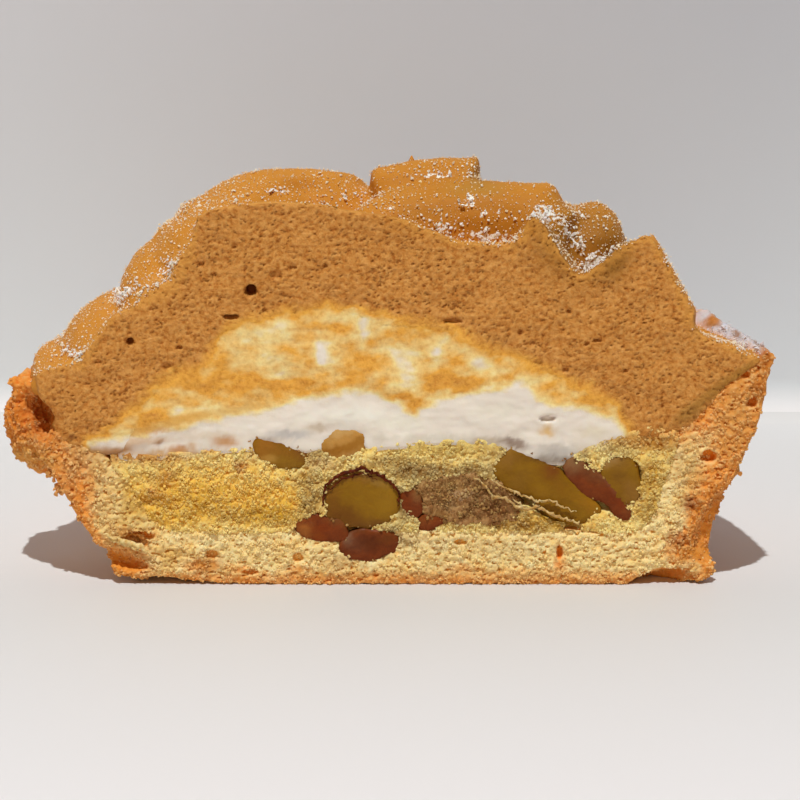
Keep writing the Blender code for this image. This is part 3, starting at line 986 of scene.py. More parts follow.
@dataclass(frozen=True)
class Marbling:
    """Where the white cream ends and how the chestnut cream runs into it."""

    white_top: tuple[tuple[float, float], ...] = (
        (-31.3, 15.2), (-25.1, 15.8), (-20.8, 16.6), (-19.0, 17.2), (-13.1, 18.1), (-8.5, 19.6), (-1.6, 20.6),
        (1.2, 19.1), (3.0, 18.3), (5.0, 19.4), (8.6, 20.3), (13.7, 21.3), (17.2, 19.1), (20.1, 18.6), (25.5, 17.0),
    )
    dome_top: tuple[tuple[float, float], ...] = (
        (-31.0, 15.4), (-26.5, 19.5), (-23.3, 22.8), (-19.0, 24.2), (-16.0, 28.4), (-11.7, 29.3), (-5.9, 30.4),
        (-2.8, 29.8), (1.2, 29.0), (7.0, 28.0), (11.4, 26.0), (15.7, 24.2), (20.1, 22.1), (24.5, 19.8),
        (27.0, 16.5),
    )
    pale: tuple[Blob, ...] = (
        (-14.6, 26.9, 1.5, 1.3, 0.20), (-11.5, 27.4, 1.7, 1.6, 0.30), (-12.0, 24.6, 1.6, 1.2, 0.22),
        (-10.2, 22.8, 1.5, 0.9, 0.20), (-6.1, 25.3, 0.95, 1.25, 0.55), (-5.8, 24.0, 0.8, 0.7, 0.35),
        (-3.2, 29.0, 2.6, 1.0, 0.22), (-2.1, 27.6, 0.7, 1.3, 0.42), (0.6, 28.9, 1.2, 1.4, 0.24),
        (1.6, 24.9, 2.4, 1.3, 0.28), (2.3, 22.5, 1.5, 1.6, 0.30), (5.6, 25.0, 1.0, 1.0, 0.42),
        (6.6, 26.8, 0.8, 1.1, 0.26), (10.2, 23.6, 1.3, 1.0, 0.36), (14.6, 22.0, 1.6, 0.9, 0.2),
        (22.1, 22.2, 1.6, 0.6, 0.20), (-21.7, 18.6, 1.2, 0.7, 0.3), (-18.1, 18.9, 1.6, 0.6, 0.25),
        (-22.0, 23.4, 1.1, 0.9, 0.25), (20.0, 20.4, 1.5, 0.5, 0.2),
    )
    orange: tuple[Blob, ...] = (
        (-13.2, 26.3, 0.7, 1.2, 0.14), (-4.3, 27.6, 1.9, 0.55, 0.22), (-16.5, 21.6, 4.6, 1.2, 0.2),
        (-8.2, 21.6, 3.6, 0.9, 0.22), (-1.2, 24.0, 2.2, 1.2, 0.2), (-23.4, 18.2, 1.6, 0.9, 0.28),
        (1.4, 27.1, 1.1, 0.8, 0.2), (5.8, 22.1, 1.7, 0.9, 0.25), (9.6, 21.9, 2.2, 1.0, 0.24),
        (2.4, 19.0, 1.1, 1.3, 0.42), (21.0, 20.0, 2.6, 0.8, 0.26), (12.2, 25.4, 2.4, 0.9, 0.12),
        (-19.6, 25.6, 1.4, 1.6, 0.25),
    )

    def at(self, skin: Skin) -> np.ndarray:
        """How much chestnut cream there is at each place.

        Args:
            skin: the surface.

        Returns:
            0 for white cream, up to 1 for chestnut cream.
        """
        flat = skin.flat()
        x = skin.x + 0.6 * cloud(flat, 3.0, 11, 2)
        z = skin.z + 0.45 * cloud(flat, (3.0, 1.0, 1.8), 12, 2) + 0.12 * cloud(flat, (1.2, 1.0, 0.6), 14, 2)
        white = np.interp(x, *zip(*self.white_top))
        dome = np.interp(x, *zip(*self.dome_top))
        rise = ease(z - white, -0.8, 1.5)
        marble = 0.53 + 0.15 * cloud(flat, (3.2, 1.0, 1.9), 13, 3) - 0.85 * spots(x, z, self.pale)
        marble = np.clip(marble + 0.7 * spots(x, z, self.orange), 0.12, 0.82)
        top = ease(z - dome, -1.5 - 0.9 * ease(x, -10.0, -18.0), 1.0)
        ends = np.maximum(ease(x + 0.5 * (z - 17.5), 22.6, 26.4), ease(x, -30.0, -31.4))
        return np.clip(np.maximum(rise * (marble * (1.0 - top) + top), ends), 0.0, 1.0)


@dataclass(frozen=True)
class Pits:
    """Holes of known place on the cut face: x, z, half width, half height and depth."""

    holes: tuple[Blob, ...]

    def depth(self, skin: Skin) -> np.ndarray:
        """How deep each place is inside the holes.

        Args:
            skin: the surface.

        Returns:
            Millimetres, one a vertex.
        """
        total = np.zeros(len(skin.points))
        wobble = 0.12 * cloud(skin.flat(), 0.8, 71)
        for x, z, wide, high, deep in self.holes:
            inside = np.hypot((skin.x - x) / wide, (skin.z - z) / high) + wobble
            total = np.maximum(total, deep * ease(inside, 1.15, 0.7))
        return total * skin.cut


@dataclass
class Cream(Layer):
    """Either cream. Both share their marbling and their pores, so the join between them can't be seen."""

    marbling: Marbling = field(default_factory=Marbling)
    pits: Pits = Pits(
        (
            (-13.58, 31.45, 0.62, 0.62, 1.5), (-15.65, 28.75, 0.85, 0.24, 0.9), (-26.07, 26.15, 0.42, 0.38, 1.0),
            (7.1, 28.3, 1.0, 0.34, 0.5), (16.95, 18.0, 0.85, 0.36, 0.5), (19.0, 29.3, 0.26, 0.2, 0.6),
            (21.95, 26.25, 0.45, 0.22, 0.5), (20.9, 25.9, 0.25, 0.22, 0.4), (15.3, 25.9, 0.35, 0.2, 0.35),
            (15.95, 23.9, 0.55, 0.28, 0.3), (18.75, 23.1, 0.35, 0.26, 0.35), (-11.0, 33.1, 0.66, 0.45, 0.35),
            (-9.3, 33.9, 0.5, 0.2, 0.4), (-18.6, 34.3, 0.35, 0.3, 0.4), (-12.25, 29.4, 0.24, 0.24, 0.4),
            (-21.0, 25.5, 0.4, 0.25, 0.45), (-23.8, 29.55, 0.3, 0.25, 0.3), (-17.3, 32.8, 0.3, 0.6, 0.3),
            (-29.4, 24.0, 0.4, 0.25, 0.3), (-5.9, 34.1, 0.25, 0.2, 0.4), (14.0, 27.1, 0.3, 0.35, 0.3),
            (24.9, 23.1, 0.25, 0.2, 0.4), (-22.4, 23.6, 0.5, 0.4, 0.35), (-21.3, 22.9, 0.4, 0.4, 0.3),
        )
    )

    def relief(self, skin: Skin) -> np.ndarray:
        """Drag lines and bubbles on the cut, and the soft unevenness of the piped outside.

        Args:
            skin: the surface.

        Returns:
            Millimetres outwards, one a vertex.
        """
        flat = skin.flat()
        aired = ease(self.marbling.at(skin), 0.55, 0.95)
        waves = 0.20 * cloud(flat, 5.5, 21) + 0.05 * cloud(flat, (2.0, 1.0, 0.9), 22)
        curls = 0.14 * (0.35 - np.abs(cloud(flat, (0.80, 1.0, 0.58), 23, 2)))
        holes = np.maximum(
            0.24 * ease(cloud(flat, (0.50, 1.0, 0.38), 24, 1), 0.32, 0.70),
            0.36 * ease(cloud(flat, (0.85, 1.0, 0.55), 29, 2), 0.78, 1.15),
        )
        patch = 0.55 + 0.45 * ease(cloud(flat, 4.5, 25), -0.7, 0.5)
        cut = waves + aired * (curls - patch * holes) - self.pits.depth(skin)
        outside = 0.10 * cloud(skin.points, 3.2, 27) + 0.03 * cloud(skin.points, 0.9, 28)
        return cut * skin.cut + outside * (1.0 - skin.cut)

    def masks(self, piece: Piece, skin: Skin, relief: np.ndarray) -> dict[Mask, np.ndarray]:
        """Marbling on the cut, chestnut cream elsewhere, and the holes and dips that the material darkens as painted
        shade. Smear and dust start at nothing.

        Args:
            piece: the object.
            skin: the surface.
            relief: how far each vertex stands out.

        Returns:
            The numbers, one a vertex.
        """
        marbling = self.marbling.at(skin)
        inside = ease(skin.points[:, 1], CUT + 4.0, CUT + 1.5)
        return {
            Mask.MARBLING: marbling if self.node == "whipped_cream" else marbling * inside + 1.0 - inside,
            Mask.SMEAR: np.zeros(len(skin.points)),
            # the pore mask: holes, and dips below the smoothed relief on the cut, which the material darkens as
            # painted shade
            Mask.PORE: np.maximum(
                ease(self.pits.depth(skin), 0.3, 1.2),
                0.34 * skin.cut * ease(even_out(piece, relief, 8) - relief, 0.06, 0.26),
            ),
            Mask.DUST: np.zeros(len(skin.points)),
        }


@dataclass
class PipedCream(Cream):
    """The chestnut cream, with the outline that the knife dragged smooth and sugar dust on its outside."""

    outline: tuple[tuple[float, float], ...] = (
        (-36.0, 23.0), (-34.4, 23.7), (-31.0, 24.0), (-29.2, 27.0), (-27.7, 29.3), (-22.7, 30.9), (-21.1, 32.3),
        (-19.6, 36.5), (-18.9, 39.9), (-17.9, 40.4), (-12.1, 41.2), (-8.2, 41.0), (-2.4, 40.3), (0.4, 40.3),
        (2.4, 38.8), (7.4, 36.7), (13.2, 36.2), (15.3, 38.8), (20.0, 32.9), (27.1, 37.4), (29.8, 33.1),
        (31.7, 27.8), (32.3, 27.0), (34.7, 26.4), (38.9, 24.1),
    )

    def masks(self, piece: Piece, skin: Skin, relief: np.ndarray) -> dict[Mask, np.ndarray]:
        """Adds the smear under the outline to what both creams carry.

        Args:
            piece: the object.
            skin: the surface.
            relief: how far each vertex stands out.

        Returns:
            The numbers, one a vertex.
        """
        found = super().masks(piece, skin, relief)
        top = np.interp(skin.x, *zip(*self.outline))
        slope = np.gradient(np.interp(np.linspace(-36, 39, 400), *zip(*self.outline)), 75 / 399)
        steep = np.interp(skin.x, np.linspace(-36, 39, 400), np.abs(slope))
        gap = (top - skin.z) / np.sqrt(1.0 + steep**2)
        ragged = 0.45 * cloud(skin.flat(), 1.6, 31, 3)
        found[Mask.SMEAR] = skin.cut * 0.6 * ease(gap + ragged, 1.1, 0.1)
        return found


@dataclass
class Crust(Layer):
    """The shortcrust shell."""

    pits: Pits = Pits(
        (
            (38.1, 19.7, 0.5, 0.6, 0.7), (37.3, 22.6, 0.5, 0.4, 0.6), (33.7, 13.9, 0.8, 0.7, 0.9),
            (18.4, 3.5, 0.35, 0.8, 0.8), (-23.6, 7.7, 0.5, 0.5, 0.6), (-25.4, 5.3, 1.5, 0.5, 0.7),
            (-9.0, 2.9, 0.6, 0.5, 0.6), (-18.0, 3.3, 0.7, 0.5, 0.6), (-1.5, 3.0, 0.6, 0.35, 0.5),
            (8.0, 4.6, 0.7, 0.3, 0.5), (22.0, 5.8, 0.6, 0.3, 0.4), (-14.0, 1.4, 0.9, 0.3, 0.5),
        )
    )

    refined: tuple[Slab, ...] = (
        (-50.0, -33.6, 5.5, 11.5, 50.0), (31.0, 50.0, 2.2, -1.0, 17.0), (-50.0, -23.5, 2.2, -1.0, 7.0),
    )
    browned: tuple[Blob, ...] = (
        (-25.4, 5.4, 1.6, 0.6, 1.0), (-23.4, 7.8, 0.7, 0.5, 1.0), (-27.0, 2.0, 2.6, 1.6, 1.1),
        (-19.0, 2.0, 1.8, 0.8, 0.9), (-15.0, 1.6, 1.2, 0.6, 0.8), (33.4, 7.0, 1.6, 3.0, 1.0),
        (31.0, 3.4, 1.6, 1.6, 0.8), (-9.0, 1.6, 1.4, 0.6, 0.7), (18.4, 2.4, 0.6, 1.6, 0.8),
        (8.0, 1.8, 1.6, 0.6, 0.6),
    )

    def fine_area(self, middle: np.ndarray, normal: np.ndarray) -> np.ndarray:
        """Also the broken end of the shell on the left, and its two sides low down.

        Args:
            middle: each face's middle.
            normal: the way it faces.

        Returns:
            True for each face that is cut smaller.
        """
        chosen = super().fine_area(middle, normal)
        x, y, z = middle.T
        for left, right, deep, low, high in self.refined:
            chosen |= (x > left) & (x < right) & (y < CUT + deep) & (z > low) & (z < high) & (normal[:, 1] < 0.1)
        return chosen

    def broken(self, skin: Skin) -> np.ndarray:
        """Where the shell is broken open on the left."""
        return ease(skin.x, -33.0, -35.0) * ease(skin.z, 11.5, 13.5)

    def relief(self, skin: Skin) -> np.ndarray:
        """Sandy grains, with cracks that lie along the floor.

        Args:
            skin: the surface.

        Returns:
            Millimetres outwards, one a vertex.
        """
        big, _ = pebbles(skin.points, (0.80, 0.8, 0.55), 41)
        fine, _ = pebbles(skin.points, (0.42, 0.4, 0.34), 45)
        cracks = cloud(skin.points, (1.3, 1.2, 0.55), 47, 3)
        grains = 0.22 * (0.5 - big) + 0.15 * (0.5 - fine) + 0.16 * cloud(skin.points, 1.4, 48, 3)
        cut = grains - 0.32 * ease(cracks, 0.36, 0.8)
        outside = 0.7 * grains + 0.2 * cloud(skin.points, 4.0, 49)
        shard = self.broken(skin)
        outside = outside + shard * (0.45 * grains + 0.45 * cloud(skin.points, 2.2, 50, 3))
        return cut * skin.cut + outside * (1.0 - skin.cut) - self.pits.depth(skin)

    def masks(self, piece: Piece, skin: Skin, relief: np.ndarray) -> dict[Mask, np.ndarray]:
        """Browned where it met the tin, at the rim and along the base, with painted shade in its pits and dips and
        painted highlights on its grains.

        Args:
            piece: the object.
            skin: the surface.
            relief: how far each vertex stands out.

        Returns:
            The numbers, one a vertex.
        """
        near = skin.points[skin.points[:, 1] < CUT + 1.0]
        levels = np.arange(0.25, 25.0, 0.5)
        left, right = [], []
        for level in levels:
            row = near[np.abs(near[:, 2] - level) < 0.4][:, 0]
            left.append(row.min() if len(row) else -38.0)
            right.append(row.max() if len(row) else 38.0)
        depth = np.minimum(skin.x - np.interp(skin.z, levels, left), np.interp(skin.z, levels, right) - skin.x)
        ragged = 0.6 * cloud(skin.flat(), 1.5, 51, 3)
        thick = 1.3 + 2.4 * ease(skin.z, 6.0, 12.0)
        wall = ease((depth + ragged) / thick, 1.7, 0.6)
        base = 0.85 * ease(skin.z + 0.7 * ragged, 1.8, 0.5)
        rim = ease(skin.z + ragged, 13.0, 19.0)
        baked = np.maximum.reduce((wall, base, rim, spots(skin.x, skin.z, self.browned)))
        shard = self.broken(skin)
        outside = 1.0 - skin.cut
        high = relief - even_out(piece, relief, 9)
        return {
            Mask.BAKED: np.maximum(baked * skin.cut, outside),
            Mask.SCORCH: np.maximum(0.35 * shard, 0.2 * outside),
            Mask.GOLD: 0.35 + 0.3 * cloud(skin.flat(), 3.0, 52),
            Mask.STAIN: np.zeros(len(skin.points)),
            # painted shade in the pits and dips, painted highlight on the grains' tops
            Mask.PORE: np.maximum(ease(self.pits.depth(skin), 0.2, 0.9), ease(-high, 0.0, 0.22)),
            Mask.CREST: np.maximum(skin.cut, 0.45 * shard) * ease(high, 0.02, 0.13),
        }


@dataclass
class Sponge(Layer):
    """The almond sponge."""

    gold: tuple[Blob, ...] = (
        (-19.0, 9.8, 7.5, 3.4, 1.1), (-24.0, 8.0, 3.6, 1.8, 0.9), (-11.0, 9.0, 3.4, 2.8, 0.9),
        (27.5, 11.5, 2.4, 3.2, 0.6), (17.0, 6.8, 5.5, 1.0, 0.9), (-1.0, 12.8, 2.4, 1.0, 0.3),
        (6.0, 14.6, 7.0, 0.8, 0.35),
    )
    stain: tuple[Blob, ...] = (
        (-7.6, 9.4, 1.8, 3.2, 0.35), (-8.6, 15.0, 1.6, 1.0, 0.75), (3.0, 9.8, 3.2, 3.2, 0.5),
        (10.5, 12.0, 4.0, 1.6, 0.35), (10.0, 7.2, 5.5, 1.4, 0.35), (24.5, 14.5, 2.0, 2.0, 0.35),
        (-6.5, 15.0, 2.2, 1.2, 0.6), (13.5, 14.9, 1.6, 0.9, 0.5),
    )
    browned: tuple[Blob, ...] = (
        (-27.0, 14.3, 3.6, 0.9, 0.75), (-21.0, 15.0, 2.4, 0.8, 0.6), (-17.5, 15.6, 1.4, 0.7, 0.8),
        (28.5, 16.0, 3.4, 1.1, 0.75), (-14.9, 12.9, 0.6, 0.6, 0.7), (-22.5, 11.6, 0.9, 0.7, 0.6),
        (-24.1, 10.2, 0.7, 0.5, 0.7),
    )

    def relief(self, skin: Skin) -> np.ndarray:
        """Torn crumb: grains, clumps and small caves.

        Args:
            skin: the surface.

        Returns:
            Millimetres outwards, one a vertex.
        """
        big, _ = pebbles(skin.points, 0.95, 61)
        fine, _ = pebbles(skin.points, 0.46, 65)
        caves = cloud(skin.points, (1.1, 1.1, 0.8), 67, 3)
        return (
            0.17 * (0.5 - big) + 0.12 * (0.5 - fine) + 0.20 * cloud(skin.points, 2.2, 68, 3)
            + 0.04 * cloud(skin.points, 0.35, 69) - 0.25 * ease(caves, 0.36, 0.8)
        )

    def masks(self, piece: Piece, skin: Skin, relief: np.ndarray) -> dict[Mask, np.ndarray]:
        """Golden where syrup soaked in, brown round the beans, browned on top, with painted shade in its dips and
        painted highlights on its grains.

        Args:
            piece: the object.
            skin: the surface.
            relief: how far each vertex stands out.

        Returns:
            The numbers, one a vertex.
        """
        flat = skin.flat()
        x, z = skin.x + 0.6 * cloud(flat, 1.8, 81, 3), skin.z + 0.5 * cloud(flat, 1.5, 82, 3)
        high = relief - even_out(piece, relief, 9)
        return {
            Mask.GOLD: 0.25 + 0.25 * cloud(flat, 1.6, 83, 3) + 0.75 * spots(x, z, self.gold),
            Mask.STAIN: spots(x, z, self.stain),
            Mask.BAKED: spots(x, z, self.browned),
            Mask.SCORCH: np.zeros(len(skin.points)),
            # painted shade in the dips, painted highlight on the grains' tops
            Mask.PORE: 0.8 * ease(-high, 0.0, 0.24),
            Mask.CREST: ease(high, 0.02, 0.14),
        }


@dataclass
class Lump(Layer):
    """A nut, a bean or the paste between them, with an uneven outline."""

    grain: float = 0.28
    cuts: int = 1
    swell: float = 0.35
    soften: int = 4
    proud: float = 0.05
    torn: float = 0.0
    wander: float = 0.3
    dark_rim: float = 0.5

    def pull(self, piece: Piece) -> None:
        """Also lets the outline wander, so no piece is a plain oval.

        Args:
            piece: the object.
        """
        super().pull(piece)
        points = places(piece)
        flat = points * (1.0, 0.0, 1.0)
        points[:, 0] += self.wander * cloud(flat, 3.0, 94, 1)
        points[:, 2] += self.wander * cloud(flat, 2.6, 95, 1)
        move_to(piece, points)

    def relief(self, skin: Skin) -> np.ndarray:
        """Nearly flat on a nut, with the knife's faint waves; lumpy on the paste.

        Args:
            skin: the surface.

        Returns:
            Millimetres outwards, one a vertex.
        """
        flat = skin.flat()
        crags, _ = pebbles(skin.points, 0.8, 96)
        rough = 0.25 * (0.5 - crags) + 0.16 * cloud(skin.points, 0.9, 98, 3)
        return self.proud * skin.cut + 0.05 * cloud(flat, 2.4, 91) + self.torn * rough

    def masks(self, piece: Piece, skin: Skin, relief: np.ndarray) -> dict[Mask, np.ndarray]:
        """A darker rim all round, and flecks where the surface stands out.

        Args:
            piece: the object.
            skin: the surface.
            relief: how far each vertex stands out.

        Returns:
            The numbers, one a vertex.
        """
        rim = even_out(piece, 1.0 - skin.cut, 6)
        ragged = 0.25 * cloud(skin.flat(), 0.9, 93, 2)
        return {
            Mask.STAIN: self.dark_rim * ease(rim + ragged, 0.2, 0.8),
            Mask.DUST: ease(relief - even_out(piece, relief, 8), 0.02, 0.10),
        }


# ---------------------------------------------------------------- grains and crumbs


@dataclass(frozen=True)
class Scatter:
    """Many small lumps as one mesh.

    Fields:
        name: the piece's name.
        finish: what the lumps are made of.
        slot: not used.
        seed: for all its random numbers.
        rough: how uneven each lump is.
        faces: twenty a lump, or eight for the finest grains.
    """

    name: str
    finish: Finish
    slot: str
    seed: int
    rough: float = 0.35
    faces: int = 20

    def lump(self) -> tuple[np.ndarray, np.ndarray]:
        """Makes one round lump.

        Returns:
            The corners, and for each face three of their numbers.
        """
        for other in bpy.context.selected_objects:
            other.select_set(False)
        if self.faces == 8:
            corners = np.vstack((np.eye(3), -np.eye(3)))
            outward = ((0, 1, 2), (1, 3, 2), (3, 4, 2), (4, 0, 2), (1, 0, 5), (3, 1, 5), (4, 3, 5), (0, 4, 5))
            return corners, np.array(outward)
        bpy.ops.mesh.primitive_ico_sphere_add(subdivisions=1, radius=1.0)
        made = bpy.context.object
        corners = np.array([v.co for v in made.data.vertices])
        faces = np.array([p.vertices[:] for p in made.data.polygons])
        mesh = made.data
        bpy.data.objects.remove(made)
        bpy.data.meshes.remove(mesh)
        return corners, faces

    def strew(
        self,
        middles: np.ndarray,
        sizes: np.ndarray,
        masks: dict[Mask, np.ndarray] | None = None,
        tint: np.ndarray | None = None,
    ) -> Piece:
        """Lays the lumps.

        Args:
            middles: where they lie.
            sizes: half sizes, three a lump.
            masks: numbers a lump for the material.
            tint: the painted colour and cover a lump.

        Returns:
            The object.
        """
        rng = np.random.default_rng(self.seed)
        corners, faces = self.lump()
        count, many = len(middles), len(corners)
        shapes = corners[None] * (1.0 + self.rough * rng.uniform(-1.0, 1.0, (count, many, 1)))
        quaternions = rng.normal(size=(count, 4))
        quaternions /= np.linalg.norm(quaternions, axis=1)[:, None]
        w, x, y, z = quaternions.T
        turn = np.stack(
            (
                1 - 2 * (y * y + z * z), 2 * (x * y - z * w), 2 * (x * z + y * w),
                2 * (x * y + z * w), 1 - 2 * (x * x + z * z), 2 * (y * z - x * w),
                2 * (x * z - y * w), 2 * (y * z + x * w), 1 - 2 * (x * x + y * y),
            ),
            axis=1,
        ).reshape(-1, 3, 3)
        shapes = np.einsum("nij,nkj->nki", turn, shapes * sizes[:, None, :]) + middles[:, None, :]
        points = shapes.reshape(-1, 3)
        points[:, 2] = np.maximum(points[:, 2], FLOOR_GAP)
        everyone = (faces[None] + (np.arange(count) * many)[:, None, None]).reshape(-1, 3)
        mesh = bpy.data.meshes.new(self.name)
        mesh.from_pydata((points * MM).tolist(), [], everyone.tolist())
        piece = bpy.data.objects.new(self.name, mesh)
        bpy.context.scene.collection.objects.link(piece)
        for mask, values in (masks or {}).items():
            paint(piece, mask, np.repeat(values, many))
        if tint is not None:
            paint_colour(piece, np.repeat(tint[:, :3], many, axis=0), np.repeat(tint[:, 3], many))
        dress(piece, self.finish)
        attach(piece, "root")
        LOG.info("%s: %d lumps, %d triangles", self.name, count, len(everyone))
        return piece


def pick(weights: np.ndarray, count: int, seed: int) -> np.ndarray:
    """Draws places by weight, none twice.

    Args:
        weights: one a place.
        count: how many are drawn.
        seed: of the draw.

    Returns:
        Their numbers.
    """
    rng = np.random.default_rng(seed)
    share = np.clip(weights, 0.0, None)
    count = min(count, int((share > 0).sum()))
    return rng.choice(len(share), size=count, replace=False, p=share / share.sum())


def read_mask(piece: Piece, mask: Mask) -> np.ndarray:
    """Reads back one of a piece's masks.

    Args:
        piece: the object.
        mask: which one.

    Returns:
        The numbers, one a vertex.
    """
    values = np.empty(len(piece.data.vertices), np.float32)
    piece.data.attributes[mask.value].data.foreach_get("value", values)
    return values.astype(float)


def read_tint(piece: Piece) -> np.ndarray:
    """Reads back a piece's painted colour and cover.

    Args:
        piece: the object.

    Returns:
        Four numbers a row.
    """
    values = np.empty(len(piece.data.vertices) * 4, np.float32)
    piece.data.attributes["tint"].data.foreach_get("color", values)
    return values.reshape(-1, 4).astype(float)


@dataclass
class Crumbs:
    """Loose grains held on a torn surface, coloured as the crumb they came from.

    Fields:
        on: the piece they lie on.
        smallest: half size of the finest, as largest is of the coarsest.
        sink: how deep they are bedded.
        elsewhere: how thickly they lie away from the cut, where the cut has 1.
        hanging: x, z and half size of each clump that hangs at the edge.
        clump: how many grains hang together.
        clumped: the least and greatest half size of a grain in a clump.
    """

    on: Piece
    name: str
    finish: Finish
    slot: str
    count: int
    seed: int
    smallest: float = 0.06
    largest: float = 0.20
    sink: float = 0.02
    elsewhere: float = 0.15
    hanging: tuple[tuple[float, float, float], ...] = ()
    clump: int = 26
    clumped: tuple[float, float] = (0.16, 0.34)

    def build(self) -> Piece:
        """Chooses places on the surface and lays the grains there.

        Returns:
            The grains as one piece.
        """
        skin = Skin.of(self.on)
        beside = self.elsewhere * (1.0 + 6.0 * ease(skin.points[:, 1], CUT + 6.0, CUT + 2.0))
        weights = skin.cut + beside * (1.0 - skin.cut) * (skin.normals[:, 1] < 0.6)
        weights *= (0.25 + ease(cloud(skin.points, 2.2, self.seed), -0.3, 0.7)) * (skin.normals[:, 2] < 0.35)
        weights *= 1.0 + 1.5 * np.clip(read_mask(self.on, Mask.STAIN), 0.0, 0.6)
        chosen = pick(weights, self.count, self.seed)
        rng = np.random.default_rng(self.seed + 1)
        size = self.smallest + (self.largest - self.smallest) * rng.random(len(chosen)) ** 2.4
        sizes = size[:, None] * rng.uniform(0.6, 1.3, (len(chosen), 3))
        middles = skin.points[chosen] + skin.normals[chosen] * (size * 0.4 - self.sink)[:, None]
        for x, z, half in self.hanging:
            spot = np.argmin(np.hypot(skin.x - x, skin.z - z) + 0.5 * np.abs(skin.points[:, 1] - CUT - 1.0))
            near = rng.normal(0.0, 0.45 * half, (self.clump, 3)) * (1.0, 0.6, 0.9) + (x, CUT + 1.0, z)
            middles, chosen = np.vstack((middles, near)), np.r_[chosen, np.repeat(spot, self.clump)]
            sizes = np.vstack((sizes, rng.uniform(*self.clumped, (self.clump, 3))))
        masks = {
            mask: read_mask(self.on, mask)[chosen]
            for mask in (Mask.GOLD, Mask.STAIN, Mask.BAKED, Mask.SCORCH, Mask.PORE)
        }
        # the loose grains keep a little of the painted shade and get a painted highlight of their own
        masks[Mask.PORE] *= 0.3
        masks[Mask.CREST] = 0.3 + 0.7 * rng.random(len(chosen))
        grains = Scatter(self.name, self.finish, self.slot, self.seed)
        return grains.strew(middles, sizes, masks, read_tint(self.on)[chosen])


